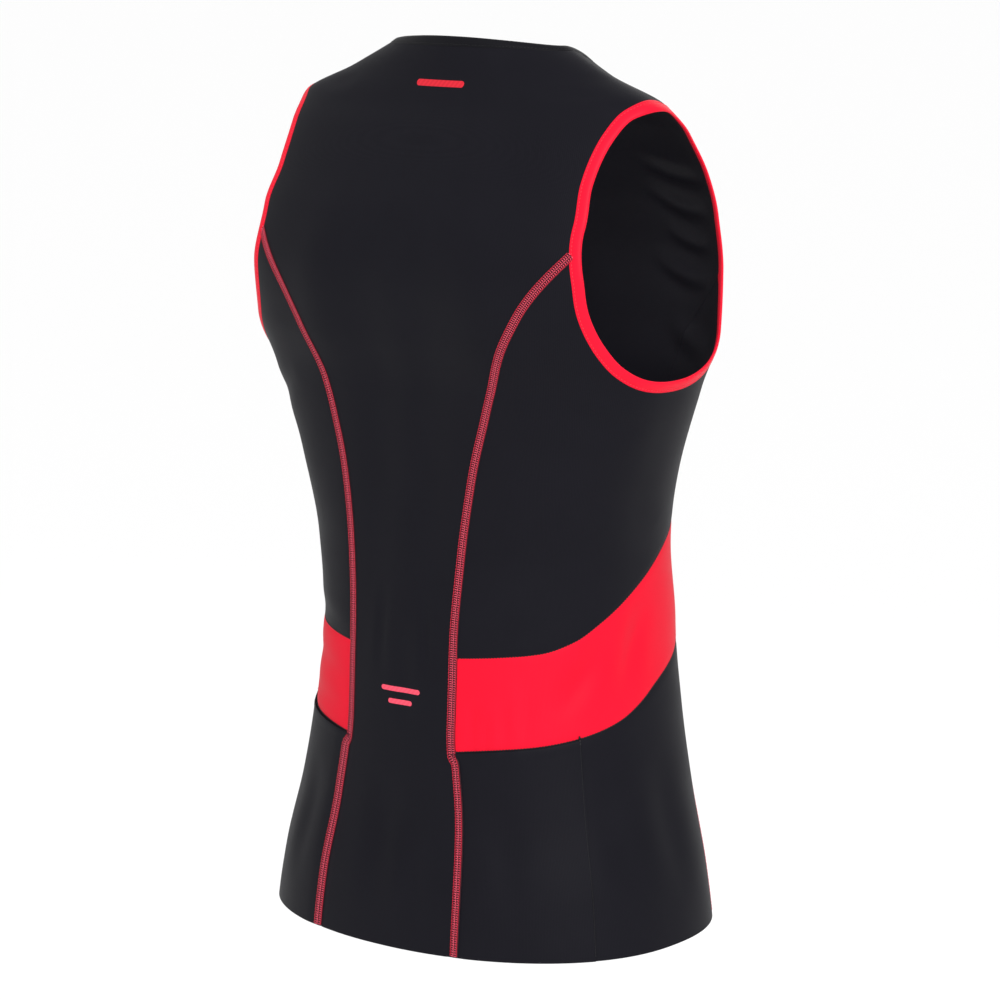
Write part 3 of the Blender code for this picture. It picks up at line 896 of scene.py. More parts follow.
@dataclass(frozen=True)
class KnitFinish:
    """A knitted cloth: columns of loops that run up the piece, with a soft sheen. Its colour
    holds painted shade in the loops' hollows and painted sheen in broad patches.
    """

    name: str
    slot: str
    colour: Colour
    # painted shade: the darker colour drawn into the hollows between the loops
    hollow_shade: Colour
    roughness: float
    sheen: float
    specular: float = 0.3
    wale: float = 0.00085
    course: float = 0.00070
    loop_height: float = 0.00011
    strength: float = 0.35
    # scale of the broad patches, which are random tone and painted sheen at once
    tone_and_sheen_scale: float = 22.0
    fuzz_scale: float = 900.0

    def material(self) -> Any:
        """Make the material, once for each name."""
        if self.name in bpy.data.materials:
            return bpy.data.materials[self.name]
        shader = Shader(self.name)
        cloth = shader.node("ShaderNodeUVMap", {"uv_map": "cloth"}, {}).outputs[0]
        parts = shader.node("ShaderNodeSeparateXYZ", {}, {0: cloth}).outputs
        across, up = Signal(shader, parts[0]), Signal(shader, parts[1])
        column = abs((across * (math.pi / self.wale)).sine())
        rows = (up * (2 * math.pi / self.course) + column * 2.2).sine() * 0.5 + 0.5
        loops = column * 0.7 + column * rows * 0.3
        tone_and_sheen = shader.noise(cloth, self.tone_and_sheen_scale, 3.0)
        fuzz = shader.noise(cloth, self.fuzz_scale)
        # Painted shade and painted sheen: the colour darkens into the loops' hollows, and the
        # broad cloudy patches are random tone and painted sheen at once; the fuzz is random tone.
        share = loops * 0.55 + tone_and_sheen * 0.35 + fuzz * 0.10
        colour = shader.mix(share, self.hollow_shade, self.colour)
        rough = self.roughness + (tone_and_sheen - 0.5) * 0.14 - (loops - 0.5) * 0.06
        height = loops + (fuzz - 0.5) * 0.35
        bump = shader.node(
            "ShaderNodeBump", {},
            {"Strength": self.strength, "Distance": self.loop_height, "Height": height})
        finish_surface(shader, colour, rough, bump.outputs[0], self.sheen, self.specular)
        return shader.material


@dataclass(frozen=True)
class ThreadFinish:
    """Sewing thread: twisted plies with a silky sheen, and painted shade in the grooves between
    them.
    """

    name: str
    slot: str
    colour: Colour
    # painted shade: the darker colour drawn into the grooves between the plies
    hollow_shade: Colour
    roughness: float = 0.42
    sheen: float = 0.02
    specular: float = 0.2
    ply: float = 0.0005
    ply_height: float = 0.00008
    strength: float = 0.3
    fuzz_scale: float = 1400.0

    def material(self) -> Any:
        """Make the material, once for each name."""
        if self.name in bpy.data.materials:
            return bpy.data.materials[self.name]
        shader = Shader(self.name)
        place = shader.node("ShaderNodeTexCoord", {}, {}).outputs["Object"]
        parts = shader.node("ShaderNodeSeparateXYZ", {}, {0: place}).outputs
        x, y, z = (Signal(shader, socket) for socket in parts)
        twist = ((x + y * 0.8 + z) * (2 * math.pi / self.ply)).sine() * 0.5 + 0.5
        fuzz = shader.noise(place, self.fuzz_scale)
        # Painted shade: the colour darkens into the grooves of the twist; the fuzz is random
        # tone.
        share = twist * 0.6 + fuzz * 0.4
        colour = shader.mix(share, self.hollow_shade, self.colour)
        rough = self.roughness + (fuzz - 0.5) * 0.2
        bump = shader.node(
            "ShaderNodeBump", {},
            {"Strength": self.strength, "Distance": self.ply_height,
             "Height": twist + fuzz * 0.4})
        finish_surface(shader, colour, rough, bump.outputs[0], self.sheen, self.specular)
        return shader.material


def finish_surface(shader: Shader, colour: Any, rough: Any, normal: Any, sheen: float,
                   specular: float) -> None:
    """Close a material with its surface.

    Args:
        shader: The material's tree.
        colour: Socket of the base colour.
        rough: Signal of the roughness.
        normal: Socket of the normal.
        sheen: Weight of the cloth's sheen.
        specular: The level of its plain gloss.
    """
    surface = shader.node("ShaderNodeBsdfPrincipled", {}, {
        "Base Color": colour,
        "Roughness": rough,
        "Normal": normal,
        "Sheen Weight": sheen,
        "Sheen Roughness": 0.45,
        "Specular IOR Level": specular,
    })
    shader.node("ShaderNodeOutputMaterial", {}, {0: surface.outputs[0]})


# The second colour of each finish is its painted shade, drawn into the hollows of its loops or
# plies.
BLACK_KNIT = KnitFinish("black_knit_cloth", "black_knit", (0.0098, 0.0094, 0.0132),
                        (0.0049, 0.0047, 0.0070), 0.50, 0.005, 0.05)
BLACK_BINDING = KnitFinish("black_binding_cloth", "black_binding", (0.0084, 0.0082, 0.0106),
                           (0.0042, 0.0041, 0.0054), 0.46, 0.006, 0.07, wale=0.0006)
RED_KNIT = KnitFinish("red_knit_cloth", "red_knit", (0.79, 0.0085, 0.033),
                      (0.62, 0.0040, 0.018), 0.50, 0.005, 0.05, strength=0.25)
RED_BINDING = KnitFinish("red_binding_cloth", "red_binding", (0.86, 0.0092, 0.036),
                         (0.70, 0.0050, 0.022), 0.42, 0.007, 0.07, wale=0.0006,
                         strength=0.25)
SEAM_RED = ThreadFinish("seam_red_thread", "red_binding", (0.86, 0.120, 0.190),
                        (0.62, 0.040, 0.075))
SEAM_PINK = ThreadFinish("seam_pink_thread", "red_binding", (0.80, 0.125, 0.185),
                         (0.50, 0.030, 0.060))
SEAM_EDGE = ThreadFinish("seam_edge_thread", "red_binding", (0.62, 0.020, 0.052),
                         (0.32, 0.007, 0.020))
SEAM_BASE = ThreadFinish("seam_base", "red_binding", (0.050, 0.0032, 0.008),
                         (0.022, 0.0022, 0.005), roughness=0.6)
BLACK_THREAD = ThreadFinish("black_thread", "black_binding", (0.012, 0.012, 0.014),
                            (0.005, 0.005, 0.006))
RED_THREAD = ThreadFinish("red_thread", "red_binding", (0.97, 0.05, 0.085),
                          (0.62, 0.012, 0.028))
PRINT_RED = ThreadFinish("print_red", "red_knit", (0.66, 0.018, 0.035),
                         (0.50, 0.012, 0.024), sheen=0.0, ply=0.004)
PRINT_PINK = ThreadFinish("print_pink", "red_knit", (0.86, 0.085, 0.14),
                          (0.70, 0.055, 0.10), sheen=0.0, ply=0.004)


# ---------------------------------------------------------------- meshes


def grid_faces(rows: int, columns: int, closed_rows: bool = False,
               closed_columns: bool = False) -> Faces:
    """List the faces of a grid whose points are numbered row by row.

    Args:
        rows: How many rows.
        columns: How many points in each.
        closed_rows: Whether the last row is next to the first.
        closed_columns: Whether the last column is next to the first.

    Returns:
        The faces, outward where rows climb and columns leave the centre back.
    """
    faces = []
    for i in range(rows if closed_rows else rows - 1):
        up = (i + 1) % rows
        for j in range(columns if closed_columns else columns - 1):
            on = (j + 1) % columns
            faces.append((i * columns + j, i * columns + on, up * columns + on, up * columns + j))
    return faces


MEAN_RADIUS = 0.13  # of the form
LEAN_BELOW = -0.10  # where the cloth begins to lean over the shoulders
LEAN_EASE = 0.06


def cloth_coordinates(points: Array) -> Array:
    """Lay points of the form out flat, so that a knit runs up them.

    Args:
        points: Points on the form.

    Returns:
        Metres across and metres up, for each.
    """
    x, y, height = np.moveaxis(points.reshape(-1, 3), -1, 0)
    mid = smooth_read(SECTIONS, height)[1]
    across = MEAN_RADIUS * np.arctan2(np.abs(x), y - mid)
    over = np.clip((height - LEAN_BELOW) / LEAN_EASE, 0, 1)
    return np.stack((across, height - over * np.abs(y)), -1)


def make_object(name: str, points: Array, faces: Faces, finish: Any,
                flat: Array | None = None) -> Any:
    """Make a smooth mesh object in its finish.

    Args:
        name: The piece's name.
        points: Its points.
        faces: Its faces.
        finish: The finish that it wears.
        flat: Its cloth coordinates, where they differ from those of its points.

    Returns:
        The object.
    """
    points = points.reshape(-1, 3)
    data = bpy.data.meshes.new(name)
    data.from_pydata(points.tolist(), [], faces)
    data.shade_smooth()
    flat = cloth_coordinates(points) if flat is None else flat
    corner = np.empty(len(data.loops), np.int32)
    data.loops.foreach_get("vertex_index", corner)
    data.uv_layers.new(name="cloth").uv.foreach_set("vector", flat[corner].ravel())
    data.materials.append(finish.material())
    piece = bpy.data.objects.new(name, data)
    bpy.context.scene.collection.objects.link(piece)
    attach(piece, "root")
    LOG.info("%s: %d points, %d faces", name, len(points), len(faces))
    return piece


def thicken(piece: Any, thickness: float) -> Any:
    """Give a thin piece its wall, half to each side, with crisp cut edges.

    Args:
        piece: The piece, as one layer.
        thickness: Of its wall.

    Returns:
        The same piece.
    """
    edge = np.empty(len(piece.data.loops), np.int32)
    piece.data.loops.foreach_get("edge_index", edge)
    cut = np.bincount(edge, minlength=len(piece.data.edges)) == 1
    piece.data.edges.foreach_set("use_edge_sharp", cut)
    solidify = piece.modifiers.new("cloth", "SOLIDIFY")
    solidify.thickness = thickness
    solidify.offset = 0
    return piece


def handed(points: Array, faces: Faces, hand: Hand) -> tuple[Array, Faces]:
    """Turn the right side's points and faces into those of a hand.

    Args:
        points: Points on the wearer's right.
        faces: Their faces.
        hand: The side wanted.

    Returns:
        The points and the faces.
    """
    if hand is Hand.RIGHT:
        return points, faces
    return points * MIRROR, [face[::-1] for face in faces]


def tubes(paths: Array, outward: Array, radius: float, tip: float, sides: int = 5,
          flat: float = 0.75) -> tuple[Array, Faces]:
    """Make a short round thread along each of many paths.

    Args:
        paths: Points of each path, as (paths, points, 3).
        outward: Directions out of the cloth there.
        radius: Of the thread.
        tip: How thick the ends are for the middle.
        sides: Of its section.
        flat: How high the section is for its width.

    Returns:
        The points and the faces.
    """
    count, long = paths.shape[:2]
    along = unit(np.gradient(paths, axis=1))
    across = unit(np.cross(along, outward))
    up = np.cross(across, along)
    thick = tip + (1 - tip) * np.sin(math.pi * np.linspace(0.08, 0.92, long))
    thick = (radius * thick)[None, :, None, None]
    turn = 2 * math.pi * np.arange(sides) / sides
    round_it = (np.cos(turn)[:, None] * across[:, :, None]
                + flat * np.sin(turn)[:, None] * up[:, :, None])
    points = (paths[:, :, None] + thick * round_it).reshape(-1, 3)
    one = [
        (j * sides + i, j * sides + (i + 1) % sides, (j + 1) * sides + (i + 1) % sides,
         (j + 1) * sides + i)
        for j in range(long - 1)
        for i in range(sides)
    ]
    one.append(tuple(range(sides))[::-1])
    one.append(tuple(range((long - 1) * sides, long * sides)))
    faces = [
        tuple(index + k * long * sides for index in face) for k in range(count) for face in one
    ]
    return points, faces


def sheet_area(points: Array, faces: Faces) -> float:
    """Add up the area of a sheet's middle surface.

    Args:
        points: The sheet's points.
        faces: Its faces, of three or four corners.

    Returns:
        The area.
    """
    area = 0.0
    for size in (3, 4):
        chosen = np.array([face for face in faces if len(face) == size])
        if len(chosen) == 0:
            continue
        corner = points.reshape(-1, 3)[chosen]
        for k in range(1, size - 1):
            area += np.linalg.norm(
                np.cross(corner[:, k] - corner[:, 0], corner[:, k + 1] - corner[:, 0]), axis=1
            ).sum() / 2
    return float(area)


@dataclass(frozen=True)
class Cut:
    """The flat cut of a sheet: the knit stretches a little when it is worn."""

    stretch: float = 1.07

    def declare(self, piece: Any, worn: tuple[float, float], area: float) -> None:
        """State a sheet's flat size.

        Args:
            piece: The sheet.
            worn: Its width and length as it is worn.
            area: Its area as it is worn.
        """
        flat = tuple(round(size / self.stretch, 3) for size in worn)
        area = min(area / self.stretch**2, flat[0] * flat[1])
        LOG.info("%s: flat %s, area %.4f", piece.name, flat, area)


CUT = Cut()
PANEL_WALL = 0.0012


def sew_row(name: str, line: Array, where: Array, lift: Array, finish: ThreadFinish,
            hand: Hand, radius: float, tip: float) -> Any:
    """Sew a row of stitches along a line on the cloth.

    Args:
        name: The row's name.
        line: The line on the wearer's right.
        where: Distances along it of each stitch's points.
        lift: How far those points lie out of the cloth's middle.
        finish: The thread's finish.
        hand: The side wanted.
        radius: Of the thread.
        tip: How thick a stitch's ends are for its middle.

    Returns:
        The row's object.
    """
    spots = FORM.place(FORM.walk(line, where)) * (hand.value, 1, 1)
    points, faces = tubes(DRAPE.skin(spots, lift), FORM.outward(spots), radius, tip)
    return make_object(name, points, faces, finish)


# ---------------------------------------------------------------- the panels


def is_inside(points: Array, ring: Array) -> Array:
    """Tell which points of a plane lie inside a closed ring.

    Args:
        points: Points of the plane.
        ring: The ring's points.

    Returns:
        True or False for each point.
    """
    x, y = points[:, None, 0], points[:, None, 1]
    start, end = ring, np.roll(ring, -1, axis=0)
    crosses = (start[:, 1] > y) != (end[:, 1] > y)
    rise = np.where(start[:, 1] == end[:, 1], 1, end[:, 1] - start[:, 1])
    at = start[:, 0] + (y - start[:, 1]) * (end[:, 0] - start[:, 0]) / rise
    return (crosses & (x < at)).sum(1) % 2 == 1


@dataclass
class CentrePanel:
    """The back or the front panel, which crosses the centre line.

    Its inner points stand in columns a few degrees apart, clear of its edge by a share of
    a cell. over_shoulder is its length above the top of its princess seams.
    """

    centre: Centre
    wall: float = PANEL_WALL
    clear_of_edge: float = 0.6
    column: float = 1.8
    reach_round: float = 100.0
    snap: float = 0.0002
    merge: float = 1e-7
    over_shoulder: float = 0.10
    seen_from: tuple[float, float, float] = (-0.55, 0.60, 0.58)

    @property
    def behind(self) -> bool:
        """Whether this is the back panel."""
        return self.centre is Centre.BACK

    def ring(self) -> Array:
        """Return the outline of the right half, as points that go round once."""
        middle = 0 if self.behind else math.pi
        side = join(PATTERN.whole_seam(self.centre), PATTERN.arm[self.centre])
        turn = np.linspace(middle, side[0, 0], PATTERN.fine)
        hem = curve(turn, PATTERN.hem_height(turn))
        hem = FORM.divide(hem, PATTERN.count(hem))
        neck = PATTERN.neck_sewn[self.centre]
        down = curve(middle, np.linspace(neck[-1, 1], hem[0, 1], PATTERN.fine))
        down = FORM.divide(down, PATTERN.count(down))
        runs = (hem, side, PATTERN.shoulder, neck, down)
        ring = np.concatenate([FORM.place(run)[:-1] for run in runs])
        ring[np.abs(ring[:, 0]) < self.snap, 0] = 0
        return ring

    def chart(self, points: Array) -> Array:
        """Draw points of the right half as seen from a side that sees all of it.

        Args:
            points: Points of the right half.

        Returns:
            Places across and up that view, for each.
        """
        way = unit(np.array(self.seen_from) * (1, 1 if self.behind else -1, 1))
        right = unit(np.cross((0, 0, 1), way))
        return np.stack((points @ right, points @ np.cross(way, right)), -1)

    def half(self) -> tuple[Array, Faces]:
        """Fill the right half's outline with even triangles.

        Returns:
            The points and the faces.
        """
        ring, found = self.ring(), self.columns()
        found = found[is_inside(self.chart(found), self.chart(ring))]
        clear = nearness(search_tree(ring), found) > PATTERN.cell * self.clear_of_edge
        points = np.concatenate((ring, found[clear]))
        edges = [(k, (k + 1) % len(ring)) for k in range(len(ring))]
        flat = self.chart(points).tolist()
        _, _, faces, origin, _, _ = delaunay_2d_cdt(flat, edges, [], 1, self.merge)
        return points, [tuple(origin[k][0] for k in face) for face in faces]

    def columns(self) -> Array:
        """Return points of the form in columns, every other column half a cell higher."""
        height = np.linspace(SECTIONS[0, 0], SECTIONS[-1, 0], 4 * PATTERN.fine)
        first, last = (0, self.reach_round) if self.behind else (180 - self.reach_round, 180)
        found = []
        for k, turn in enumerate(np.radians(np.arange(first + self.column, last, self.column))):
            path = FORM.on(turn, height)
            steps = np.linalg.norm(np.diff(path, axis=0), axis=1)
            run = np.concatenate(((0,), np.cumsum(steps)))
            where = np.arange(PATTERN.cell / 2 * (k % 2), run[-1], PATTERN.cell)
            found.append(np.stack([np.interp(where, run, path[:, a]) for a in range(3)], -1))
        return np.concatenate(found)

    def build(self) -> Any:
        """Make the panel from both halves, draped."""
        points, faces = self.half()
        count = len(points)
        middle = points[:, 0] == 0
        fresh = np.cumsum(~middle) - 1 + count
        other = np.where(middle, np.arange(count), fresh)
        both = np.concatenate((points, points[~middle] * MIRROR))
        faces = faces + [tuple(int(other[k]) for k in face[::-1]) for face in faces]
        name = f"{self.centre.value}_panel"
        piece = make_object(f"{name}_cloth", DRAPE.skin(both), faces, BLACK_KNIT,
                            cloth_coordinates(both))
        thicken(piece, self.wall)
        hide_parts(name)
        wide = 2 * FORM.lengths(self.widest())[-1]
        tall = FORM.lengths(PATTERN.whole_seam(self.centre))[-1] + self.over_shoulder
        CUT.declare(piece, (wide, tall), sheet_area(both, faces))
        return piece

    def widest(self) -> Array:
        """Return the level line from the centre line to the seam at the hem or the shoulders."""
        middle = 0 if self.behind else math.pi
        end = PATTERN.arm[self.centre][0 if self.behind else -1]
        if not self.behind:
            end = PATTERN.whole_seam(self.centre)[0]
        return curve(np.linspace(middle, end[0], PATTERN.fine), end[1])


@dataclass
class SidePanels:
    """The three panels down one side: upper, waist band and lower, and the pocket layer."""

    hand: Hand
    wall: float = PANEL_WALL
    pocket_wall: float = 0.0010
    pocket_gap: float = 0.0003
    mouth: float = 0.0012
    mouth_swell: float = 0.0004
    seam_ease: float = 0.016
    least_rise: float = 0.3

    def patch(self, bottom: Array, right: Array, top: Array, left: Array) -> Array:
        """Blend a grid of points on the form from its four sides.

        Args:
            bottom: From left to right.
            right: Upwards.
            top: From left to right.
            left: Upwards.

        Returns:
            The grid.
        """
        bottom, right, top, left = (FORM.place(side) for side in (bottom, right, top, left))
        s = np.linspace(0, 1, len(bottom))[None, :, None]
        t = np.linspace(0, 1, len(left))[:, None, None]
        bend_below = bottom - (1 - s) * bottom[0] - s * bottom[-1]
        bend_above = top - (1 - s) * top[0] - s * top[-1]
        grid = (1 - s) * left[:, None] + s * right[:, None]
        grid = grid + (1 - t) * bend_below + t * bend_above
        grid[1:-1, 1:-1] = FORM.settle(grid[1:-1, 1:-1])
        return grid

    def sew(self, name: str, grid: Array, lift: Any, wall: float, finish: Any) -> Any:
        """Make one panel of this hand from the right side's grid.

        Args:
            name: The node's name without its hand.
            grid: Points on the form.
            lift: How far outside the cloth it lies.
            wall: Its thickness.
            finish: Its finish.

        Returns:
            The object.
        """
        points, faces = handed(grid, grid_faces(*grid.shape[:2]), self.hand)
        node = f"{name}_{self.hand.name.lower()}"
        piece = make_object(f"{node}_cloth", DRAPE.skin(points, lift), faces, finish,
                            cloth_coordinates(points))
        thicken(piece, wall)
        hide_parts(node)
        wide = float(np.linalg.norm(np.diff(grid, axis=1), axis=-1).sum(1).max())
        tall = float(np.linalg.norm(np.diff(grid, axis=0), axis=-1).sum(0).max())
        CUT.declare(piece, (wide, tall), sheet_area(points, faces))
        return piece

    def build(self) -> None:
        """Make the four pieces of this side."""
        back, front = PATTERN.seams[Centre.BACK], PATTERN.seams[Centre.FRONT]
        levels = PATTERN.levels()
        rows = (
            ("side_lower", levels["hem"], "lower", levels["low"], BLACK_KNIT),
            ("side_band", levels["low"], "band", levels["high"], RED_KNIT),
            ("side_upper", levels["high"], "upper", PATTERN.arm_under, BLACK_KNIT),
        )
        for name, bottom, part, top, finish in rows:
            grid = self.patch(bottom, front[part], top, back[part])
            self.sew(name, grid, 0.0, self.wall, finish)
            if name == "side_lower":
                self.pocket(grid)

    def pocket(self, lower: Array) -> None:
        """Make the pocket's outer layer, its mouth just under the band.

        Args:
            lower: The lower panel's grid, which the pocket lies over.
        """
        grid = lower[:, : PATTERN.round_counts[0] + 1].copy()
        drop = unit(grid[-2] - grid[-1]) * self.mouth
        grid[-1] += drop
        full = (self.wall + self.pocket_wall) / 2 + self.pocket_gap
        from_seam = np.linalg.norm(grid - grid[:, :1], axis=-1)
        rise = full * np.clip(from_seam / self.seam_ease, self.least_rise, 1)
        rise[-2:] += self.mouth_swell
        self.sew("pocket", grid, rise, self.pocket_wall, BLACK_KNIT)


# ---------------------------------------------------------------- the bindings

# A binding's folded section from its rolled edge: share of its width, millimetres outwards.
BINDING_SECTION = (
    (-0.03, 0.00),
    (0.02, 0.62),
    (0.14, 1.05),
    (0.34, 1.18),
    (0.58, 1.08),
    (0.72, 0.86),
    (0.79, 0.60),
    (0.86, 0.84),
    (0.96, 0.74),
    (1.02, 0.35),
    (1.02, -0.45),
    (0.86, -0.85),
    (0.50, -1.02),
    (0.16, -0.92),
    (0.02, -0.55),
)
STITCH_SHARE = 0.79  # of the width, where the row of stitches sinks in
BINDING_STITCH = (-0.3, 0.9, 0.9, -0.3)  # how a stitch rises along its length, in its radii


@dataclass
class Binding:
    """A strip of knit folded round a raw edge and sewn down near its inner side."""

    name: str
    edge: Array
    width: float
    finish: KnitFinish
    thread: ThreadFinish
    hand: Hand = Hand.RIGHT
    cell: float = 0.0028
    stitch_pitch: float = 0.0026
    stitch_length: float = 0.0017
    stitch_radius: float = 0.00030
    stitch_lift: float = 0.00060
    stitch_tip: float = 0.45
    fold_step: float = 0.12
    turned_in: float = 0.003

    def build(self) -> None:
        """Make the folded strip and its row of stitches."""
        cells = int(FORM.lengths(self.edge)[-1] / self.cell)
        line = FORM.divide(self.edge, cells)
        rows, lifts = [], []
        for share, out in BINDING_SECTION:
            moved = FORM.sidestep(line, share * self.width, closed=True)[:-1]
            rows.append(FORM.place(moved))
            lifts.append(np.full(len(moved), out * MILLIMETRE))
        grid, lift = np.stack(rows), np.stack(lifts)
        faces = grid_faces(*grid.shape[:2], closed_rows=True, closed_columns=True)
        points, faces = handed(grid, faces, self.hand)
        round_it = np.linspace(0, FORM.lengths(line)[-1], grid.shape[1])
        over = self.fold_step * self.width * np.arange(len(BINDING_SECTION))
        flat = np.stack(np.broadcast_arrays(round_it[None, :], over[:, None]), -1)
        piece = make_object(f"{self.name}_cloth", DRAPE.skin(points, lift), faces, self.finish,
                            flat.reshape(-1, 2))
        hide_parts(self.name)
        stitches = self.stitches(line)
        strip = (2 * self.width + self.turned_in, float(FORM.lengths(line)[-1]))
        area = sheet_area(DRAPE.skin(points, lift), faces) / 2
        CUT.declare(piece, strip, area)

    def stitches(self, line: Array) -> Any:
        """Make the row of stitches that holds the strip.

        Args:
            line: The open edge.

        Returns:
            The stitches' object.
        """
        row = FORM.sidestep(line, STITCH_SHARE * self.width, closed=True)
        end = FORM.lengths(row)[-1] - self.stitch_pitch
        starts = np.arange(0, end, self.stitch_pitch)
        where = starts[:, None] + np.linspace(0, self.stitch_length, len(BINDING_STITCH))
        lift = self.stitch_lift + self.stitch_radius * np.array(BINDING_STITCH)
        return sew_row(f"{self.name}_stitches", row, where, lift, self.thread, self.hand,
                       self.stitch_radius, self.stitch_tip)


# ---------------------------------------------------------------- sewing


BASE_SECTION = (
    # share of the half width, millimetres out of the cloth
    (-1.26, -0.25),
    (-1.08, 0.16),
    (-0.50, 0.24),
    (0.00, 0.26),
    (0.50, 0.24),
    (1.08, 0.16),
    (1.26, -0.25),
)
LADDER = (
    # share of the half width, share of the pitch, millimetres out of the cloth
    (-0.86, 0.00, 0.18),
    (-0.50, 0.28, 0.60),
    (-0.14, 0.00, 0.18),
)
ROW_STITCH = (
    # share of the pitch, millimetres out of the cloth
    (0.02, 0.40),
    (0.50, 0.72),
    (0.98, 0.40),
)


@dataclass
class CoverSeam:
    """The wide cover stitch over a princess seam: a base, ladders of thread and three rows.

    Below the band the back's stitch steps aside by jog and rises onto the pocket.
    """

    centre: Centre
    hand: Hand
    half_width: float = 0.0030
    pitch: float = 0.00165
    thread: float = 0.00036
    ladder_tip: float = 0.6
    row_thread: float = 0.00034
    row_tip: float = 0.55
    row_pitch: float = 0.0024
    row_share: float = 0.97
    jog: float = 0.0028
    jog_ease: float = 0.001
    jog_drop: float = 0.006
    pocket_rise: float = 0.0006
    front_sink: float = 0.0003
    cell: float = 0.002
    look: float = 0.0005

    def line(self) -> Array:
        """Return the stitch's middle line: below the band it lies a little to one side."""
        seam = PATTERN.whole_seam(self.centre)
        seam = FORM.divide(seam, int(FORM.lengths(seam)[-1] / self.cell))
        seam = FORM.sidestep(seam, self.jog * self.below(seam[:, 1]))
        return np.concatenate((seam, seam[-1:] + 2 * (seam[-1:] - seam[-2:-1])))

    def below(self, height: Array) -> Array:
        """Return 0 for heights above the step just under the band, easing to 1 below it."""
        step = PATTERN.seams[self.centre]["band"][0, 1] - self.jog_drop
        return 1 / (1 + np.exp((height - step) / self.jog_ease))

    def spread(self, line: Array, where: Array, aside: Array, lift: Any) -> tuple[Array, Array]:
        """Find places on the draped cloth beside a line.

        Args:
            line: The middle line.
            where: Distances along it.
            aside: Distances to its right.
            lift: How far outside the cloth's middle.

        Returns:
            The points, and the outward directions there.
        """
        where, aside = np.broadcast_arrays(where, aside)
        shape, where, aside = where.shape, where.ravel(), aside.ravel()
        at, ahead, behind = (FORM.walk(line, where + step) for step in (0, self.look, -self.look))
        spots = FORM.place(at)
        out = FORM.outward(spots)
        side = unit(np.cross(FORM.place(ahead) - FORM.place(behind), out))
        tilt = np.clip(aside / self.half_width + 1, 0, 2)
        over_pocket = self.pocket_rise * self.below(at[:, 1]) * tilt
        spots = (spots + side * aside[:, None]) * (self.hand.value, 1, 1)
        out = out * (self.hand.value, 1, 1)
        lift = np.broadcast_to(lift, shape).ravel()
        lift = lift + (over_pocket if self.centre is Centre.BACK else -self.front_sink)
        moved = spots + out * (DRAPE.relief(spots) + lift)[:, None]
        return moved.reshape(*shape, 3), out.reshape(*shape, 3)

    def build(self) -> None:
        """Make the base, the ladders of thread across it and the three rows along it."""
        name = f"{self.centre.value}_seam_{self.hand.name.lower()}"
        line = self.line()
        long = float(FORM.lengths(line)[-1]) - MILLIMETRE
        self.base(name, line, long)
        self.ladders(name, line, long)
        self.rows(name, line, long)

    def base(self, name: str, line: Array, long: float) -> None:
        """Make the dark bed of thread under the rest.

        Args:
            name: The seam's name.
            line: Its middle line.
            long: How far along the line it goes.
        """
        share, rise = np.array(BASE_SECTION).T
        where = np.arange(MILLIMETRE / 2, long, self.cell)
        lift = PANEL_WALL / 2 + MILLIMETRE * rise
        grid, _ = self.spread(line, where[:, None], share * self.half_width, lift)
        points, faces = handed(grid * (self.hand.value, 1, 1), grid_faces(*grid.shape[:2]),
                               self.hand)
        make_object(f"{name}_base", points, [face[::-1] for face in faces], SEAM_BASE)

    def ladders(self, name: str, line: Array, long: float) -> None:
        """Make the threads that cross between the rows.

        Args:
            name: The seam's name.
            line: Its middle line.
            long: How far along the line they go.
        """
        share, ahead, rise = np.array(LADDER).T
        starts = np.arange(MILLIMETRE, long - MILLIMETRE, self.pitch)
        where = starts[:, None] + self.pitch * ahead
        lift = PANEL_WALL / 2 + MILLIMETRE * rise
        pairs = [self.spread(line, where, way * share * self.half_width, lift)
                 for way in (1, -1)]
        paths, out = (np.concatenate(both) for both in zip(*pairs))
        points, faces = tubes(paths, out, self.thread, self.ladder_tip, sides=4)
        make_object(f"{name}_ladders", points, faces, SEAM_RED)

    def rows(self, name: str, line: Array, long: float) -> None:
        """Make the three rows of stitches along the line.

        Args:
            name: The seam's name.
            line: Its middle line.
            long: How far along the line they go.
        """
        ahead, rise = np.array(ROW_STITCH).T
        starts = np.arange(MILLIMETRE, long - 2 * MILLIMETRE, self.row_pitch)
        where = starts[:, None] + self.row_pitch * ahead
        lift = PANEL_WALL / 2 + MILLIMETRE * rise
        outer = self.row_share * self.half_width
        for key, aside, finish in (("middle", 0.0, SEAM_PINK), ("left", -outer, SEAM_EDGE),
                                   ("right", outer, SEAM_EDGE)):
            paths, out = self.spread(line, where, aside, lift)
            points, faces = tubes(paths, out, self.row_thread, self.row_tip)
            make_object(f"{name}_{key}_row", points, faces, finish)


FLAT_STITCH = (
    # share of the pitch, rise in radii
    (0.03, -0.4),
    (0.35, 0.6),
    (0.65, 0.6),
    (0.97, -0.4),
)


@dataclass
class FlatSeam:
    """A narrow sewn line: one row of close stitches in black thread."""

    name: str
    line: Array
    hand: Hand
    radius: float
    lift: float
    pitch: float = 0.0022
    tip: float = 0.7

    def build(self) -> None:
        """Make the row of stitches."""
        share, rise = np.array(FLAT_STITCH).T
        starts = np.arange(MILLIMETRE, FORM.lengths(self.line)[-1] - 2 * MILLIMETRE, self.pitch)
        where = starts[:, None] + self.pitch * share
        lift = self.lift + self.radius * rise
        sew_row(self.name, self.line, where, lift, BLACK_THREAD, self.hand, self.radius,
                self.tip)


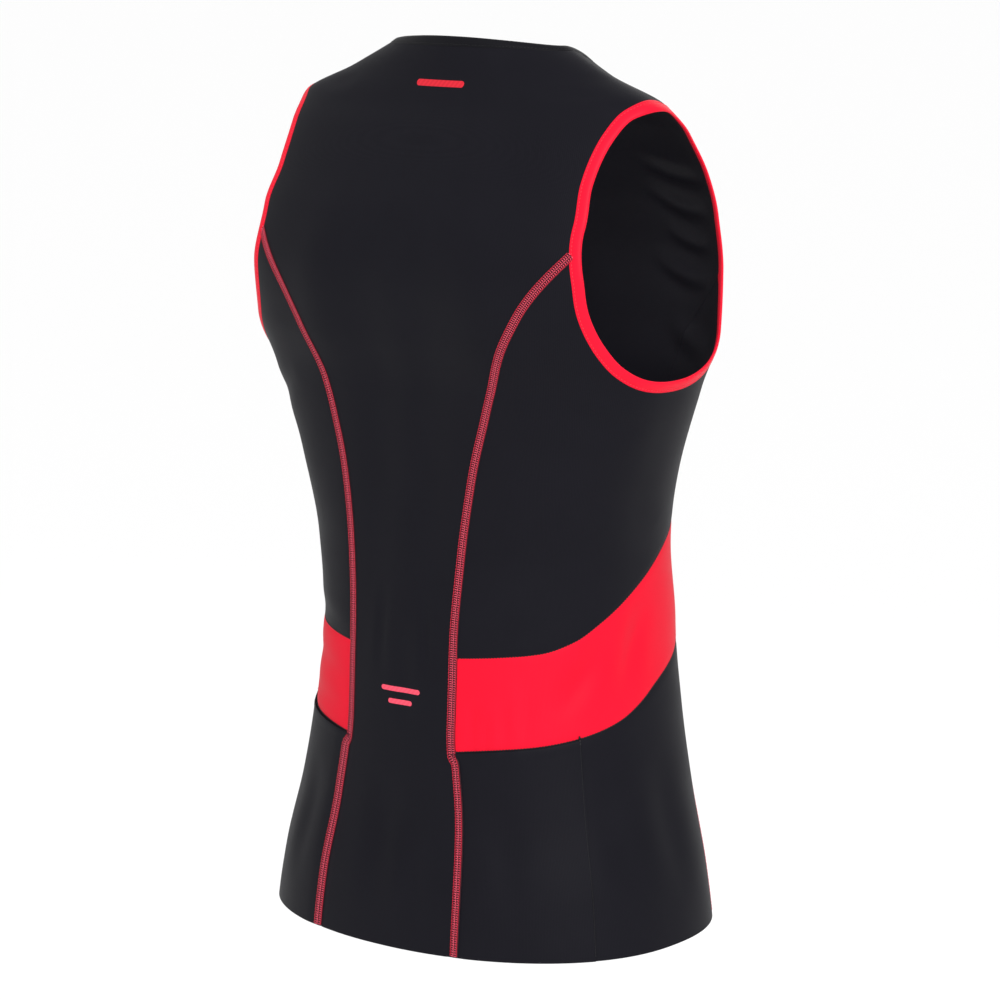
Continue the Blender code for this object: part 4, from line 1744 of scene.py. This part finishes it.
@dataclass
class PrintedBar:
    """A plain bar with round ends, printed flat on the cloth of the back."""

    name: str
    centre: tuple[float, float]
    length: float
    height: float
    finish: ThreadFinish
    film: float = 0.00008
    columns: int = 41
    rows: int = 7
    blunt: float = 0.05

    def build(self) -> None:
        """Make the thin printed film."""
        radius = self.height / 2
        s = np.linspace(-1, 1, self.columns)
        along = self.length / 2 * np.sin(s * math.pi / 2)
        inside = np.clip(np.abs(along) - (self.length / 2 - radius), 0, radius)
        tall = np.sqrt(np.maximum(radius**2 - inside**2, (radius * self.blunt) ** 2))
        t = np.linspace(-1, 1, self.rows)[:, None]
        x = self.centre[0] + along[None, :] + 0 * t
        z = self.centre[1] + t * tall[None, :]
        turn = np.where(x < 0, 1, -1) * FORM.angle_at_x(np.abs(x), z, True)
        spots = FORM.on(turn, z)
        points = DRAPE.skin(spots, PANEL_WALL / 2 + self.film)
        faces = [face[::-1] for face in grid_faces(*spots.shape[:2])]
        make_object(self.name, points, faces, self.finish)


# ---------------------------------------------------------------- the studio


@dataclass
class Studio:
    """The pale floor, the soft lights and the camera."""

    floor_height: float = -1.35
    floor_size: float = 60.0
    target: tuple[float, float, float] = (0.0, 0.0, -0.333)
    distance: float = 3.0
    turn: float = math.radians(41)
    elevation: float = math.radians(9.5)
    lens: float = 148.0
    shift: float = 0.007
    world: float = 0.66
    sun_way: tuple[float, float, float] = (-0.72, 0.55, 0.62)
    sun_strength: float = 2.1
    sun_spread: float = math.radians(35)
    inside: tuple[float, float, float] = (0.0, 0.03, -0.14)
    inside_power: float = 0.37
    inside_size: float = 0.05

    def build(self) -> None:
        """Make all of it."""
        self.floor()
        self.lights()
        self.camera()
        bpy.context.scene.view_settings.view_transform = "Standard"

    def floor(self) -> None:
        """Lay the floor, far enough out to fill the view."""
        half = self.floor_size / 2
        data = bpy.data.meshes.new("floor")
        corners = [(x * half, y * half, self.floor_height)
                   for x, y in ((-1, -1), (1, -1), (1, 1), (-1, 1))]
        data.from_pydata(corners, [], [(0, 1, 2, 3)])
        shader = Shader("pale_floor")
        surface = shader.node("ShaderNodeBsdfPrincipled", {}, {
            "Base Color": (0.96, 0.96, 0.96, 1),
            "Roughness": 0.9,
            "Specular IOR Level": 0.1,
        })
        shader.node("ShaderNodeOutputMaterial", {}, {0: surface.outputs[0]})
        data.materials.append(shader.material)
        floor = bpy.data.objects.new("floor", data)
        bpy.context.scene.collection.objects.link(floor)

    def lights(self) -> None:
        """Light the room evenly, add a sun and two soft lamps, and lift the hollow's dark."""
        world = bpy.data.worlds.new("soft_room")
        world.use_nodes = True
        background = world.node_tree.nodes["Background"]
        background.inputs[0].default_value = (1, 1, 1, 1)
        background.inputs[1].default_value = self.world
        bpy.context.scene.world = world
        sun = bpy.data.lights.new("soft_sun", "SUN")
        sun.angle = self.sun_spread
        sun.energy = self.sun_strength
        high = bpy.data.objects.new("soft_sun", sun)
        high.rotation_euler = (-Vector(self.sun_way)).to_track_quat("-Z", "Y").to_euler()
        bpy.context.scene.collection.objects.link(high)
        glow = bpy.data.lights.new("inside_bounce", "POINT")
        glow.energy = self.inside_power
        glow.shadow_soft_size = self.inside_size
        bounce = bpy.data.objects.new("inside_bounce", glow)
        bounce.location = self.inside
        bounce.visible_camera = False
        bpy.context.scene.collection.objects.link(bounce)
        lamps = (
            # name, place, size, watts
            ("key", (-1.9, 1.9, 1.6), 1.4, 26.0),
            ("front_fill", (0.4, -3.0, 1.2), 2.4, 14.0),
        )
        for name, place, size, power in lamps:
            data = bpy.data.lights.new(name, "AREA")
            data.size = size
            data.energy = power
            lamp = bpy.data.objects.new(name, data)
            lamp.location = place
            towards = Vector(self.target) - Vector(place)
            lamp.rotation_euler = towards.to_track_quat("-Z", "Y").to_euler()
            bpy.context.scene.collection.objects.link(lamp)

    def camera(self) -> None:
        """Stand the camera at the photograph's angle."""
        data = bpy.data.cameras.new("camera")
        data.lens = self.lens
        data.shift_x = self.shift
        data.clip_end = 100
        camera = bpy.data.objects.new("camera", data)
        way = Vector((
            -math.sin(self.turn) * math.cos(self.elevation),
            math.cos(self.turn) * math.cos(self.elevation),
            math.sin(self.elevation),
        ))
        camera.location = Vector(self.target) + self.distance * way
        camera.rotation_euler = (-way).to_track_quat("-Z", "Y").to_euler()
        bpy.context.scene.collection.objects.link(camera)
        bpy.context.scene.camera = camera


POCKET_STITCHES = (-0.636, -0.486)  # their lowest and highest points
BAR_TACK = (-0.4895, -0.4812)


def sew_all() -> None:
    """Sew the lines that lie in the cloth, on both hands."""
    levels = PATTERN.levels()
    pocket_edge = curve(PATTERN.pocket_angle, np.linspace(*POCKET_STITCHES, PATTERN.fine))
    bar_tack = curve(PATTERN.pocket_angle, np.linspace(*BAR_TACK, PATTERN.fine))
    for hand in Hand:
        side = hand.name.lower()
        for centre in Centre:
            CoverSeam(centre, hand).build()
        rows = (
            # name, line, radius of the thread, lift out of the cloth's middle
            (f"band_top_seam_{side}", levels["high"], 0.00045, 0.00045),
            (f"band_bottom_seam_{side}", levels["low"], 0.00045, 0.00045),
            (f"shoulder_seam_{side}", PATTERN.shoulder, 0.00040, 0.00045),
            (f"pocket_side_stitches_{side}", pocket_edge, 0.00026, 0.00175),
            (f"pocket_bar_tack_{side}", bar_tack, 0.00075, 0.00150),
        )
        for name, line, radius, lift in rows:
            FlatSeam(name, line, hand, radius, lift).build()


def main() -> None:
    """Build the classes in order."""
    for centre in Centre:
        CentrePanel(centre).build()
    for hand in Hand:
        SidePanels(hand).build()
        Binding(f"armhole_binding_{hand.name.lower()}", PATTERN.hole, PATTERN.arm_binding,
                RED_BINDING, RED_THREAD, hand).build()
    Binding("neck_binding", PATTERN.neck, PATTERN.neck_binding, BLACK_BINDING,
            BLACK_THREAD).build()
    sew_all()
    PrintedBar("neck_print_bar", (-0.002, -0.027), 0.044, 0.0046, PRINT_RED).build()
    PrintedBar("back_print_bar_upper", (-0.003, -0.457), 0.036, 0.0036, PRINT_PINK).build()
    PrintedBar("back_print_bar_lower", (-0.003, -0.466), 0.022, 0.0036, PRINT_PINK).build()
    Studio().build()


if __name__ == "__main__":
    logging.basicConfig(level=logging.INFO, format="%(message)s")
    main()
